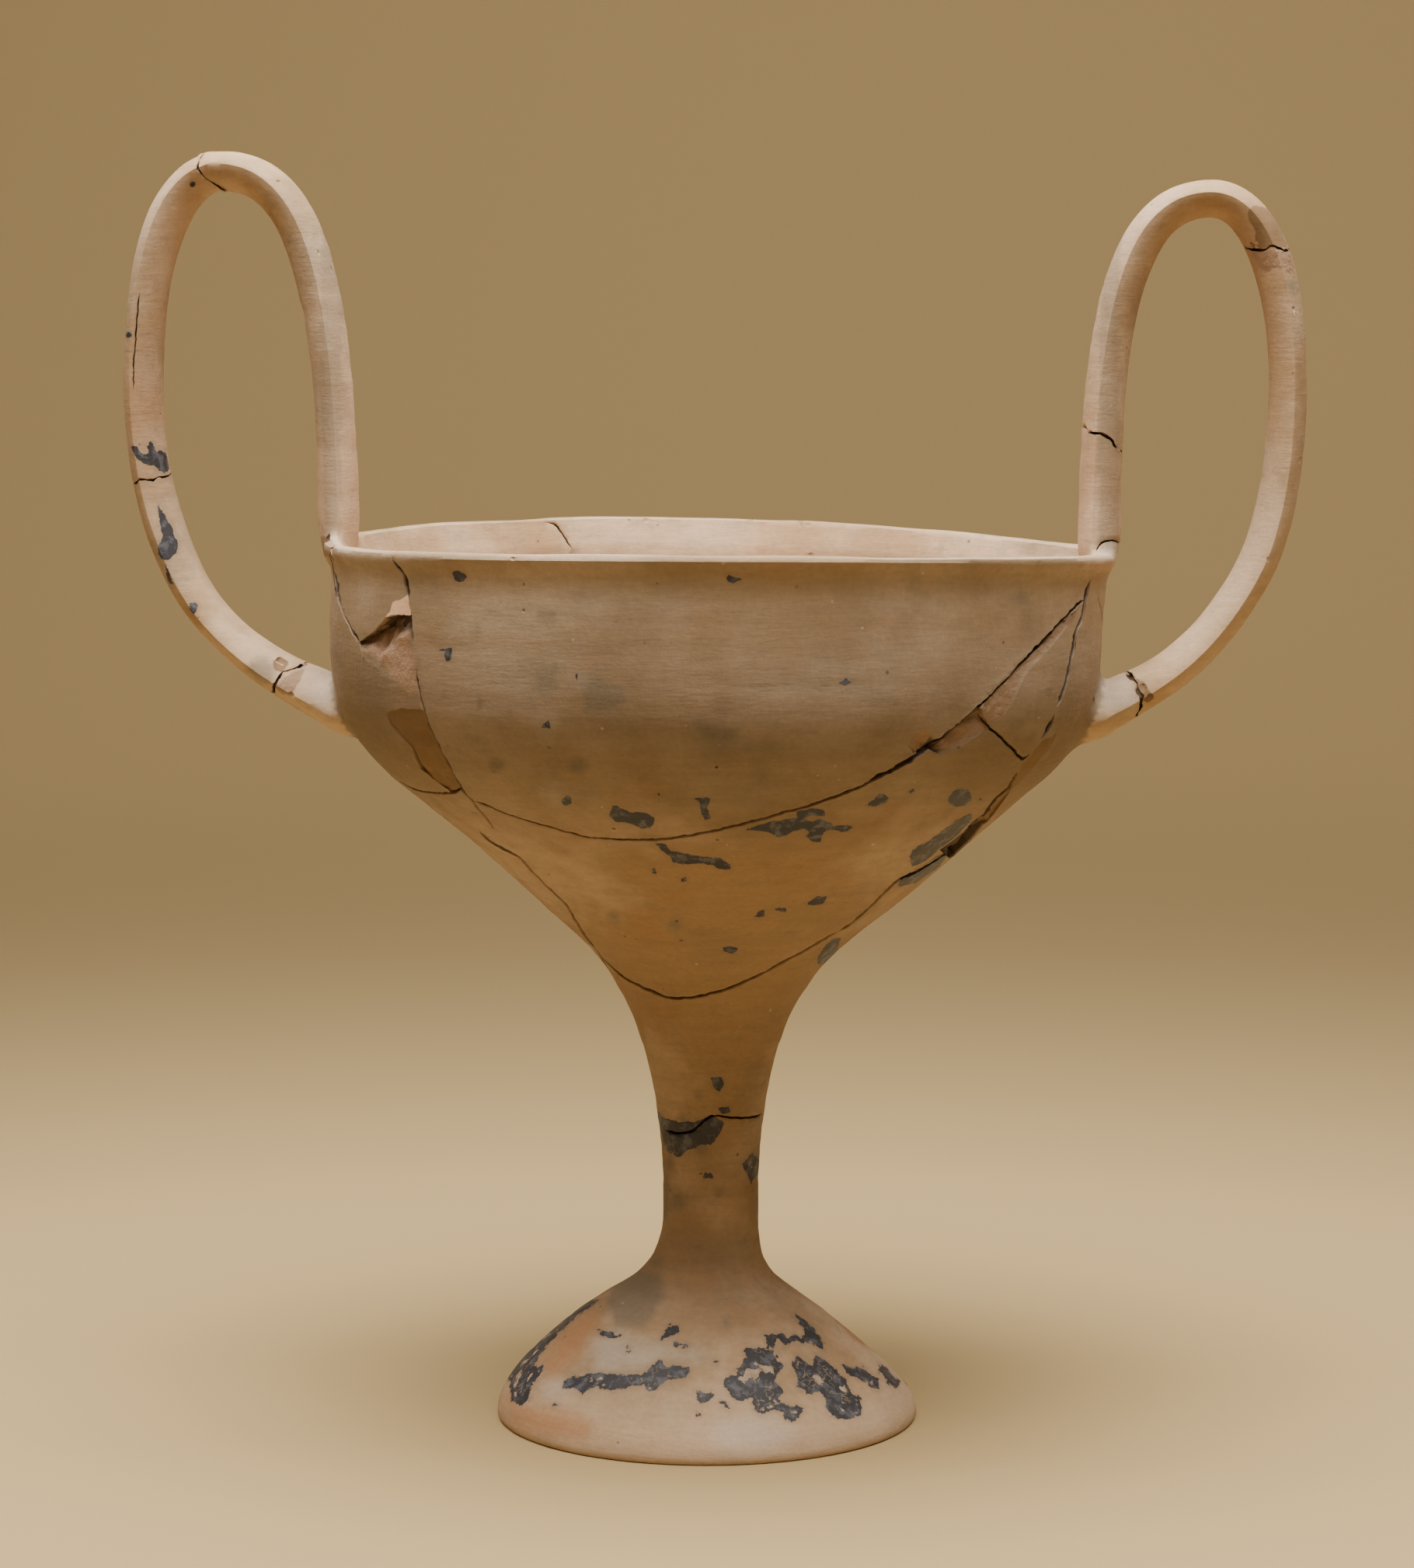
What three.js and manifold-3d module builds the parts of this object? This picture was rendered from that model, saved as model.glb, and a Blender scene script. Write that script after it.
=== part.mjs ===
// A stemmed drinking cup of fired clay with a wide bowl and two high-swung strap handles, broken long ago and
// glued together again. Millimetres, +Z up. The origin is the centre of the foot on the plane that it stands on,
// and the handles lie along X.
import * as THREE from "three";
import Module from "manifold-3d";
import { mergeVertices } from "three/addons/utils/BufferGeometryUtils.js";

const wasm = await Module();
wasm.setup();

// Foot
const FOOT_RADIUS = 43;
const FOOT_EDGE = 8; // height of the rounded edge, where the cone of the foot begins
const FOOT_HEIGHT = 26; // the cone ends here and sweeps into the stem
const FOOT_TOP_RADIUS = 17.6;
const RING_WIDTH = 4.8; // flat ring that the cup stands on
const HOLLOW_HEIGHT = 16; // domed hollow under the foot

// Stem
const STEM_RADIUS = 9.75; // at the waist
const STEM_SWEEP = 15.7; // from the cone of the foot up to the waist
const STEM_RISE = 58.5; // from the waist up to the cone of the bowl

// Bowl: a cone, a rounded shoulder, an upright wall and an out-turned lip
const BOWL_BASE_RADIUS = 29.2;
const CONE_HEIGHT = 31.8;
const CONE_TOP_RADIUS = 65.6;
const SHOULDER_HEIGHT = 23;
const WALL_RADIUS = 77.4;
const WALL_HEIGHT = 25; // shoulder to the top of the lip
const LIP_HEIGHT = 6.5;
const RIM_RADIUS = 79.5;
const WALL = 3.9;
const CONE_WALL = 4.8; // the wall thickens down the cone
const BOWL_FLOOR = 8; // clay under the lowest point of the inside, down to the start of the cone

// Handles: straps that stand on the rim, swing up and out, and come back down to the shoulder
const STRAP_WIDTH = 16;
const STRAP_THICKNESS = 7.8;
const ARRIS = 0.36; // share of the thickness that lies outside the edge line of the strap
const JOINT_DEPTH = 6; // the strap is pressed this far down inside the rim
const JOINT_SPREAD = 6; // how much wider the strap is where it is pressed on the rim
const ROOT_SPREAD = 8; // and where it is smoothed on to the shoulder
const ROOT_SWELL = 4; // how much thicker it is there
const ROOT_HEIGHT = 12; // below the top of the shoulder
const ROOT_BURIED = 9; // length of the strap that lies in the wall at its root
const JOINT_FADE = 9; // how fast the spread fades away from the rim
const ROOT_FADE = 7; // and away from the shoulder
const PRESSED = 0.4; // share of the thickness that is pressed out of the strap where it starts
const PRESSED_FADE = 3;
const LEFT_HANDLE = { side: -1, rise: 73.1, crown: 22.7, reach: 39.8, widest: 29.5, inset: 0, swell: 0 };
const RIGHT_HANDLE = { side: 1, rise: 67, crown: 21.3, reach: 37, widest: 29.5, inset: 1.6, swell: 2.2 };

// How the potter's hand shows: the axis wanders sideways, and the rim dips towards the handles
const SWAY_FOOT = -1.4;
const SWAY_WAIST = 0.6;
const SWAY_STEM = 0.9;
const SWAY_CONE = 2.9;
const SWAY_WALL = 1.8;
const SWAY_RIM = 2.6;
const RIM_DIP = 1.9;
const RIM_TILT = 1.2;
const RIM_TWIST = 0.6;

// Smoothness
const TURNS = 60; // facets around the axis
const SECTION_POINTS = 14; // facets around a strap
const CURVE_STEPS = [12, 8, 12]; // sections along the inner limb, the crown and the outer limb of a strap
const JOIN_OVERLAP = 3; // how far a cutting shape reaches beyond the skin

const waistHeight = FOOT_HEIGHT + STEM_SWEEP;
const coneHeight = waistHeight + STEM_RISE;
const shoulderHeight = coneHeight + CONE_HEIGHT;
const wallHeight = shoulderHeight + SHOULDER_HEIGHT;
const rimHeight = wallHeight + WALL_HEIGHT;
const neckHeight = rimHeight - LIP_HEIGHT;
const rootHeight = wallHeight - ROOT_HEIGHT;
const coneSlope = (CONE_TOP_RADIUS - BOWL_BASE_RADIUS) / CONE_HEIGHT; // radius gained for each mm of height

const smooth = (t) => {
  const u = Math.min(Math.max(t, 0), 1);
  return u * u * (3 - 2 * u);
};
const point = (radius, height) => new THREE.Vector2(radius, height);
const bend = (a, b, c, d, steps) => new THREE.CubicBezierCurve(a, b, c, d).getPoints(steps);

// One run of points from several curves, each of which starts where the last one ended.
function joined(...runs) {
  return runs.flatMap((run, i) => (i === 0 ? run : run.slice(1)));
}

// Outside of the cup from the standing plane to the top of the lip.
function outerOutline() {
  const edge = point(FOOT_RADIUS - 3.8, FOOT_EDGE);
  const footTop = point(FOOT_TOP_RADIUS, FOOT_HEIGHT);
  const waist = point(STEM_RADIUS, waistHeight);
  const base = point(BOWL_BASE_RADIUS, coneHeight);
  const coneTop = point(CONE_TOP_RADIUS, shoulderHeight);
  const wallFoot = point(WALL_RADIUS, wallHeight);
  const neck = point(WALL_RADIUS + 0.3, neckHeight);
  const lip = point(RIM_RADIUS, rimHeight - 1);
  const along = (start, run) => point(start.x + run * coneSlope, start.y + run);
  return joined(
    [point(FOOT_RADIUS - 0.8, 0), point(FOOT_RADIUS, 0.8)],
    bend(point(FOOT_RADIUS, 0.8), point(FOOT_RADIUS, 3), point(FOOT_RADIUS - 1.6, FOOT_EDGE - 2.4), edge, 3),
    bend(edge, point(edge.x - 6.4, edge.y + 6.6), point(footTop.x + 8.4, footTop.y - 5.4), footTop, 5),
    bend(footTop, point(footTop.x - 5.4, footTop.y + 3.5), point(waist.x, waist.y - 8.2), waist, 5),
    bend(waist, point(waist.x, waist.y + 22.3), along(base, -15.6), base, 8),
    bend(base, along(base, 10.2), along(coneTop, -10.8), coneTop, 4),
    bend(coneTop, along(coneTop, 8), point(wallFoot.x - 0.4, wallFoot.y - 8), wallFoot, 6),
    [wallFoot, neck],
    bend(neck, point(neck.x, neck.y + 3), point(lip.x, lip.y - 1.5), lip, 3),
    [lip, point(RIM_RADIUS - 1, rimHeight), point(RIM_RADIUS - WALL + 1, rimHeight)],
  );
}

// Inside of the bowl from its lowest point to the lip, and on up to an open mouth at the given height.
function innerOutline(top) {
  const floor = point(0, coneHeight - BOWL_FLOOR);
  const inset = CONE_WALL * Math.hypot(1, coneSlope);
  const coneLow = point(BOWL_BASE_RADIUS - inset + 2, coneHeight + 2);
  const coneTop = point(CONE_TOP_RADIUS - inset, shoulderHeight);
  const wallFoot = point(WALL_RADIUS - WALL, wallHeight);
  const mouth = point(RIM_RADIUS - WALL, rimHeight - 1.2);
  const rise = shoulderHeight - coneLow.y;
  const slope = (coneTop.x - coneLow.x) / rise;
  return joined(
    bend(floor, point(coneLow.x * 0.55, floor.y), point(coneLow.x - 4 * slope, coneLow.y - 4), coneLow, 5),
    [coneLow, coneTop],
    bend(coneTop, point(coneTop.x + 8 * slope, coneTop.y + 8), point(wallFoot.x - 0.4, wallFoot.y - 8), wallFoot, 5),
    [wallFoot, point(WALL_RADIUS - WALL + 0.3, neckHeight), mouth, point(mouth.x, top)],
  );
}

function hollowOutline() {
  const lip = point(FOOT_RADIUS - 0.8 - RING_WIDTH, 0);
  const crown = point(0, HOLLOW_HEIGHT);
  const below = point(lip.x + 1, -JOIN_OVERLAP);
  const dome = bend(lip, point(lip.x - 8, HOLLOW_HEIGHT * 0.6), point(lip.x * 0.4, HOLLOW_HEIGHT), crown, 6);
  return [point(0, below.y), below, ...dome];
}

// Sideways place of the axis at a height.
function sway(height) {
  const stations = [
    [0, 0],
    [FOOT_HEIGHT * 0.54, SWAY_FOOT],
    [waistHeight + 3.3, SWAY_WAIST],
    [coneHeight - 20, SWAY_STEM],
    [(coneHeight + shoulderHeight) / 2, SWAY_CONE],
    [wallHeight + 7, SWAY_WALL],
    [rimHeight, SWAY_RIM],
  ];
  const next = stations.findIndex(([z]) => z > height);
  if (next < 0) return SWAY_RIM;
  if (next === 0) return 0;
  const [z0, x0] = stations[next - 1];
  const [z1, x1] = stations[next];
  return x0 + (x1 - x0) * smooth((height - z0) / (z1 - z0));
}

// Drop of the rim at an angle around the axis, felt from the foot of the wall upwards.
function rimDrop(angle, height) {
  const side = Math.cos(angle);
  const drop = RIM_DIP * side * side + RIM_TILT * side + RIM_TWIST * Math.sin(2 * angle);
  return drop * smooth((height - wallHeight + 5) / (rimHeight - wallHeight + 5));
}

function thrown(x, y, z) {
  return [x + sway(z), y, z - rimDrop(Math.atan2(y, x), z)];
}

// A closed solid from triangles given as vertex triplets, turned outwards if need be.
function solidFrom(positions, index) {
  const geometry = new THREE.BufferGeometry();
  geometry.setAttribute("position", new THREE.Float32BufferAttribute(positions, 3));
  if (index) geometry.setIndex(index);
  const merged = mergeVertices(geometry, 1e-3);
  const old = merged.index.array;
  const kept = [];
  for (let i = 0; i < old.length; i += 3) {
    const [a, b, c] = [old[i], old[i + 1], old[i + 2]];
    if (a !== b && b !== c && c !== a) kept.push(a, b, c);
  }
  const vertProperties = merged.attributes.position.array;
  const made = new wasm.Manifold(
    new wasm.Mesh({ numProp: 3, vertProperties, triVerts: new Uint32Array(kept) }),
  );
  if (made.volume() > 0) return made;
  for (let i = 0; i < kept.length; i += 3) [kept[i + 1], kept[i + 2]] = [kept[i + 2], kept[i + 1]];
  return new wasm.Manifold(
    new wasm.Mesh({ numProp: 3, vertProperties, triVerts: new Uint32Array(kept) }),
  );
}

// An outline that starts and ends on the axis, turned on the wheel.
function turned(outline) {
  const lathe = new THREE.LatheGeometry(outline, TURNS).rotateX(Math.PI / 2);
  const place = lathe.getAttribute("position");
  const positions = [];
  for (let i = 0; i < place.count; i++) {
    positions.push(...thrown(place.getX(i), place.getY(i), place.getZ(i)));
  }
  return solidFrom(positions, Array.from(lathe.index.array));
}

// The middle line of a strap in the plane of the handles: radius and height.
function strapLine(handle) {
  const start = point(RIM_RADIUS - WALL / 2 - handle.inset, rimHeight - JOINT_DEPTH);
  const crown = point(start.x + handle.crown, rimHeight + handle.rise);
  const widest = point(start.x + handle.reach, rimHeight + handle.widest);
  const root = point(WALL_RADIUS - WALL - 5.5, rootHeight);
  const out = widest.x - crown.x;
  const down = crown.y - widest.y;
  const upright = point(start.x - 0.4, start.y + 0.657 * (crown.y - start.y));
  const beforeCrown = point(crown.x - 0.793 * handle.crown, crown.y);
  const afterCrown = point(crown.x + 0.61 * out, crown.y);
  const aboveWidest = point(widest.x, widest.y + 0.6 * down);
  const belowWidest = point(widest.x, widest.y - 0.54 * (widest.y - root.y));
  const beforeRoot = point(root.x + 33.5, root.y + 9);
  const [limb, arch, fall] = CURVE_STEPS;
  return joined(
    bend(start, upright, beforeCrown, crown, limb),
    bend(crown, afterCrown, aboveWidest, widest, arch),
    bend(widest, belowWidest, beforeRoot, root, fall),
  );
}

// How far a face of the strap stands off its edge line, at a place across its width from -1 to 1. The outer face is
// flat and the inner one is full.
function strapDepth(across, outward, thickness) {
  if (outward) return ARRIS * thickness * (1 - across * across) ** 0.75;
  return (ARRIS - 1) * thickness * (1 - across * across) ** 0.62;
}

function strap(handle) {
  const line = strapLine(handle);
  const run = [0];
  for (let i = 1; i < line.length; i++) run.push(run[i - 1] + line[i].distanceTo(line[i - 1]));
  const length = run[run.length - 1];
  const rows = line.map((middle, i) => {
    const before = line[Math.max(i - 1, 0)];
    const after = line[Math.min(i + 1, line.length - 1)];
    const heading = after.clone().sub(before).normalize();
    const fromSkin = Math.max(length - run[i] - ROOT_BURIED, 0);
    const atJoint = Math.exp(-run[i] / JOINT_FADE);
    const atRoot = Math.exp(-fromSkin / ROOT_FADE);
    const pressed = 1 - PRESSED * Math.exp(-run[i] / PRESSED_FADE);
    const width = STRAP_WIDTH + JOINT_SPREAD * atJoint + ROOT_SPREAD * atRoot;
    const thickness = (STRAP_THICKNESS + handle.swell * atJoint + ROOT_SWELL * atRoot) * pressed;
    const row = [];
    for (let k = 0; k < SECTION_POINTS; k++) {
      const turn = (2 * Math.PI * k) / SECTION_POINTS;
      const across = Math.cos(turn);
      const outward = Math.sin(turn) > 0;
      const depth = strapDepth(across, outward, thickness) + (0.5 - ARRIS) * thickness;
      const y = (across * width) / 2;
      const hug = (y * y * atJoint) / (2 * RIM_RADIUS);
      const radius = middle.x - heading.y * depth - hug;
      const z = middle.y + heading.x * depth;
      row.push([handle.side * radius + sway(z), y, z]);
    }
    return row;
  });
  return loft(rows);
}

// Skins a row of closed sections and closes both ends with a fan.
function loft(rows) {
  const n = rows[0].length;
  const positions = rows.flat(2);
  const index = [];
  for (let i = 0; i + 1 < rows.length; i++) {
    for (let k = 0; k < n; k++) {
      const a = i * n + k;
      const b = i * n + ((k + 1) % n);
      index.push(a, b, a + n, b, b + n, a + n);
    }
  }
  for (const end of [0, rows.length - 1]) {
    const middle = positions.length / 3;
    const mean = [0, 1, 2].map((axis) => rows[end].reduce((sum, p) => sum + p[axis], 0) / n);
    positions.push(...mean);
    for (let k = 0; k < n; k++) {
      const a = end * n + k;
      const b = end * n + ((k + 1) % n);
      if (end === 0) index.push(middle, b, a);
      else index.push(middle, a, b);
    }
  }
  return solidFrom(positions, index);
}

const outside = outerOutline();

// Outer radius of the cup at a height.
function radiusAt(height) {
  const above = outside.findIndex((p) => p.y >= height);
  if (above <= 0) return outside[0].x;
  const [low, high] = [outside[above - 1], outside[above]];
  return low.x + ((high.x - low.x) * (height - low.y)) / (high.y - low.y);
}

// A point over (positive) or under (negative) the skin at an angle in degrees from the right handle.
function onSkin([degrees, height], over) {
  const angle = (degrees * Math.PI) / 180;
  const slope = radiusAt(height + 0.5) - radiusAt(height - 0.5);
  const size = Math.hypot(1, slope);
  const radius = radiusAt(height) + over / size;
  const z = height - (over * slope) / size;
  return thrown(radius * Math.cos(angle), radius * Math.sin(angle), z);
}

// A hole or a pocket in the wall: corners of angle, height and depth, counter-clockwise as seen from outside.
function pocket(corners) {
  const flat = corners.map(([degrees, height]) => point((degrees * Math.PI * WALL_RADIUS) / 180, height));
  const faces = THREE.ShapeUtils.triangulateShape(flat, []);
  const n = corners.length;
  const positions = [
    ...corners.flatMap((c) => onSkin(c, JOIN_OVERLAP)),
    ...corners.flatMap((c) => onSkin(c, -c[2])),
  ];
  const index = faces.flatMap(([a, b, c]) => [a, b, c, n + c, n + b, n + a]);
  for (let i = 0; i < n; i++) {
    const j = (i + 1) % n;
    index.push(i, n + i, j, j, n + i, n + j);
  }
  return solidFrom(positions, index);
}

// An open join between two sherds: a line of [angle, height, width] along the skin, cut to one depth.
function openJoin(line, depth) {
  const degreesFor = (mm, height) => (mm * 180) / (Math.PI * radiusAt(height));
  const side = (sign) =>
    line.map(([degrees, height, width], i) => {
      const [a0, z0] = line[Math.max(i - 1, 0)];
      const [a1, z1] = line[Math.min(i + 1, line.length - 1)];
      const run = ((a1 - a0) * Math.PI * radiusAt(height)) / 180;
      const rise = z1 - z0;
      const half = (sign * width) / 2 / Math.hypot(run, rise);
      return [degrees - degreesFor(rise * half, height), height + run * half, depth];
    });
  return pocket([...side(-1), ...side(1).reverse()]);
}

const THROUGH = WALL + 4;
const FILL_DEPTH = 2.6; // how deep the modern fill lies where it does not reach the skin
const GAP_DEPTH = 2.2;

// The lost sherd left of the front: open at the top, filled lower down, in the shadow of the tongue above it.
const lostSherd = [
  [-147.8, 160.6, 0.6],
  [-141, 160, 0.5],
  [-136, 161.4, 0.8],
  [-133.2, 163.4, 1.2],
  [-133.5, 168, FILL_DEPTH],
  [-139.3, 167.4, FILL_DEPTH],
  [-142.8, 164.2, FILL_DEPTH],
];
const window = [
  [-139.3, 167.2, THROUGH],
  [-133.5, 167.8, THROUGH],
  [-134.5, 171.9, THROUGH],
  [-136.5, 170.9, THROUGH],
  [-138, 170.3, THROUGH],
];
const panelGap = [
  [-67.5, 133.8, 0.4],
  [-61, 138, 1.5],
  [-53, 144.2, 1.1],
  [-44.8, 150.8, 0.8],
  [-35, 159.8, 0.6],
];
const coneGap = [
  [-27.6, 128, 0.6],
  [-25.6, 124, 1.8],
  [-25.4, 119, 2.2],
  [-30, 113.6, 0.8],
];

function kylix() {
  const top = rimHeight + JOIN_OVERLAP;
  const body = turned([point(0, 0), ...outside, point(0, rimHeight)]);
  const bowl = body.subtract(turned([...innerOutline(top), point(0, top)]));
  const pressHeight = rimHeight - JOINT_DEPTH;
  const lowerInside = innerOutline(top).filter((p) => p.y < pressHeight);
  const lowest = lowerInside[lowerInside.length - 1];
  const trimmer = turned([...lowerInside, point(lowest.x, pressHeight), point(0, pressHeight)]);
  const cuts = [pocket(lostSherd), pocket(window), openJoin(panelGap, GAP_DEPTH), openJoin(coneGap, GAP_DEPTH)];
  let cup = bowl.subtract(turned(hollowOutline()));
  for (const handle of [LEFT_HANDLE, RIGHT_HANDLE]) cup = cup.add(strap(handle).subtract(trimmer));
  for (const cut of cuts) cup = cup.subtract(cut);
  return cup;
}

function meshOf(solid, name, material) {
  const { vertProperties, triVerts } = solid.getMesh();
  const geometry = new THREE.BufferGeometry();
  geometry.setAttribute("position", new THREE.BufferAttribute(vertProperties, 3));
  geometry.setIndex(new THREE.BufferAttribute(triVerts, 1));
  geometry.computeVertexNormals();
  const mesh = new THREE.Mesh(geometry, material);
  mesh.name = name;
  return mesh;
}

const firedClay = new THREE.MeshStandardMaterial({ color: "#c49f80", roughness: 0.72, metalness: 0 });

const cup = new THREE.Group();
cup.add(meshOf(kylix(), "kylix", firedClay));

export default cup;
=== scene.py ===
import math

import bmesh
import bpy
import numpy as np
from bpy.props import FloatProperty, FloatVectorProperty, IntProperty, PointerProperty
from mathutils import Euler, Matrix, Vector, kdtree
from mathutils.bvhtree import BVHTree


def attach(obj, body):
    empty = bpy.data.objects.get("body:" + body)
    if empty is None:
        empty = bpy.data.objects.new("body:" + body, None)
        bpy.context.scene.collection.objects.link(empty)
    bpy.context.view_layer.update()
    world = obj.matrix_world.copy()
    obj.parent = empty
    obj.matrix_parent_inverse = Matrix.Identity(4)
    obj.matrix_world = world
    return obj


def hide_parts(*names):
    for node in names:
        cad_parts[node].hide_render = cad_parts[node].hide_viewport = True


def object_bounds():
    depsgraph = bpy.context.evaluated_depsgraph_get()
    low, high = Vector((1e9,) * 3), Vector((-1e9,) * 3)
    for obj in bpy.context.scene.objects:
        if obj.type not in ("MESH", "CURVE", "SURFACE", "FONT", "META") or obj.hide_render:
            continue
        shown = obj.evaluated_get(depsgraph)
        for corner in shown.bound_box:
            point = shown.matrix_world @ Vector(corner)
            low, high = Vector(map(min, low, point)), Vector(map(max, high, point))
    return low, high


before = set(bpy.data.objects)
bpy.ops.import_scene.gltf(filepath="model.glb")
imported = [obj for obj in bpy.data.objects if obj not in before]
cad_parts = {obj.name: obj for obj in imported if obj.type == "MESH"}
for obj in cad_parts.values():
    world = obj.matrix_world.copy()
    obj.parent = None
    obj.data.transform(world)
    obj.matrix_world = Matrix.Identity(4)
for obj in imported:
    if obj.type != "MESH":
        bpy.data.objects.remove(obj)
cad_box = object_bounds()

bl_info = {
    "name": "Mended stemmed cup",
    "version": (1, 0, 0),
    "blender": (4, 5, 0),
    "location": "View3D > Sidebar > Cup",
    "description": "Builds a fired-clay drinking cup with two high strap handles, broken and mended",
    "category": "Add Mesh",
}

MM = 0.001

# The photograph's frame and camera, in its own pixels and in millimetres from the foot of the cup.
FRAME_PX = (1820, 2018)
FOCAL_PX = 5534
CAMERA_DISTANCE = 866
CAMERA_HEIGHT = 220.8
CAMERA_TURN = 5
CAMERA_PITCH = 6
PX_PER_MM = 6.35

# Breaks between the sherds: places in the photograph, each with the width in mm of the open join there.
BREAKS = {
    "tongue_left": [(424, 712, 0.5), (429, 735, 0.6), (433, 752, 1.3), (436, 768, 1.0), (441, 788, 0.25),
                    (449, 804, 0.4), (456, 816, 0.6), (464, 828, 0.6)],
    "tongue_right": [(503, 714, 0.5), (509, 727, 0.55), (519, 737, 0.55), (523, 748, 0.7), (526, 775, 0.6)],
    "panel_left": [(536, 862, 0.15), (537, 876, 0.4), (539, 888, 0.35), (545, 912, 0.2),
                   (551, 932, 0.3), (565, 961, 0.35), (579, 988, 0.4), (594, 1016, 0.45), (606, 1029, 0.3),
                   (613, 1038, 0.3), (628, 1056, 0.25), (636, 1068, 0.2)],
    "side_crack": [(514, 1005, 0.2), (531, 1015, 0.3), (550, 1020, 0.3), (570, 1021, 0.35), (582, 1021, 0.45),
                   (594, 1016, 0.45)],
    "fill_side": [(531, 963, 0.25), (538, 980, 0.4), (545, 992, 0.45), (552, 995, 0.3)],
    "left_low": [(615, 1067, 0.3), (629, 1082, 0.55), (645, 1091, 0.55), (667, 1102, 0.35), (694, 1131, 0.35),
                 (730, 1166, 0.4), (756, 1209, 0.4), (770, 1236, 0.35), (783, 1248, 0.3)],
    "belly": [(609, 1031, 0.2), (627, 1037, 0.22), (649, 1047, 0.2), (707, 1064, 0.22), (752, 1077, 0.25),
              (806, 1081, 0.3), (837, 1081, 0.4), (881, 1077, 0.4), (917, 1070, 0.4), (962, 1059, 0.4),
              (1006, 1047, 0.4), (1051, 1034, 0.45), (1096, 1018, 0.45), (1114, 1010, 0.5), (1127, 1001, 0.7),
              (1158, 986, 0.9), (1185, 970, 1.0), (1201, 959, 1.0), (1215, 949, 0.8), (1235, 932, 0.55),
              (1262, 908, 0.55), (1281, 890, 0.45), (1301, 870, 0.45), (1317, 852, 0.55), (1324, 846, 0.95),
              (1344, 825, 0.9), (1362, 805, 0.55), (1377, 790, 0.6), (1386, 780, 0.7), (1396, 772, 0.5)],
    "panel_right": [(1405, 745, 0.6), (1397, 772, 0.7), (1393, 794, 0.7), (1384, 816, 0.7), (1382, 833, 0.85),
                    (1377, 857, 0.75), (1372, 879, 0.75), (1360, 911, 0.9)],
    "panel_foot": [(1358, 918, 0.8), (1350, 936, 0.75), (1340, 951, 0.8)],
    "wedge": [(1262, 910, 0.6), (1265, 923, 0.7), (1272, 935, 0.6), (1284, 945, 0.5), (1301, 962, 0.55),
              (1316, 978, 0.55), (1327, 970, 0.45)],
    "right_low": [(1310, 992, 0.5), (1297, 1016, 0.6), (1284, 1029, 0.7), (1274, 1043, 0.7),
                  (1263, 1056, 0.7), (1248, 1072, 0.8), (1230, 1090, 0.8), (1213, 1101, 0.7),
                  (1180, 1122, 0.5), (1158, 1131, 0.5), (1136, 1151, 0.45), (1114, 1173, 0.45),
                  (1093, 1191, 0.4), (1078, 1199, 0.4)],
    "cone_foot": [(770, 1236, 0.35), (800, 1256, 0.45), (835, 1274, 0.45), (861, 1285, 0.45),
                  (904, 1282, 0.45), (948, 1269, 0.45), (989, 1249, 0.4), (1033, 1225, 0.4),
                  (1078, 1199, 0.4)],
    "stem": [(856, 1454, 0.4), (866, 1457, 0.45), (877, 1459, 0.5), (893, 1455, 0.5), (908, 1441, 0.45),
             (916, 1436, 0.45), (932, 1437, 0.45), (956, 1439, 0.45), (972, 1437, 0.45), (981, 1433, 0.4)],
    "inside": [(702, 672, 0.3), (715, 674, 0.45), (726, 690, 0.4), (737, 708, 0.4)],
    "left_seam": [(180, 376, 0.3), (176, 420, 0.3), (173, 470, 0.3), (171, 505, 0.25)],
    "joint_crack": [(1409, 711, 0.35), (1416, 701, 0.4), (1424, 696, 0.4), (1433, 695, 0.4),
                    (1443, 701, 0.35)],
    "root_tick": [(1408, 896, 0.3), (1409, 907, 0.3)],
}
# Breaks on the far side, where the photograph does not reach: degrees from the right handle and height.
FAR_BREAKS = {
    "far_cone": [(-16, 104, 0.4), (12, 106, 0.4), (45, 101, 0.4), (80, 104, 0.4), (110, 99, 0.4),
                 (150, 101, 0.4), (185, 97, 0.4), (203, 96, 0.4)],
    "far_wall": [(-12, 171, 0.3), (6, 158, 0.35), (24, 148, 0.4), (48, 140, 0.4), (77, 132, 0.45),
                 (108, 134, 0.45), (139, 128, 0.4), (171, 124, 0.35), (206, 125, 0.3)],
    "far_rise": [(77, 132, 0.4), (82, 146, 0.4), (79, 160, 0.4), (84, 174, 0.35)],
    "far_fall": [(108, 133, 0.4), (101, 120, 0.4), (96, 104, 0.4)],
    "far_stem": [(352, 62.5, 0.4), (380, 60, 0.4), (420, 61.5, 0.4), (460, 59, 0.4), (500, 60.5, 0.4),
                 (547, 59.3, 0.4)],
}
# Breaks right through a handle: its side, half the width of the join in mm, and places across the strap.
HANDLE_BREAKS = [
    (-1, 0.2, [(256, 190), (258, 204), (259, 215), (266, 226), (275, 237), (285, 243), (296, 250)]),
    (-1, 0.2, [(166, 622), (175, 619), (192, 616), (207, 613), (223, 611), (234, 609)]),
    (-1, 0.3, [(341, 902), (352, 888), (362, 873), (372, 863), (387, 857), (401, 850)]),
    (1, 0.25, [(1596, 322), (1608, 321), (1622, 321), (1639, 318), (1651, 323), (1663, 320), (1676, 316)]),
    (1, 0.25, [(1384, 529), (1391, 537), (1393, 546), (1401, 555), (1413, 558), (1423, 561), (1430, 567),
               (1438, 577), (1446, 586)]),
    (1, 0.35, [(1447, 862), (1453, 869), (1462, 882), (1467, 894), (1467, 910), (1465, 922)]),
]

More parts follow.
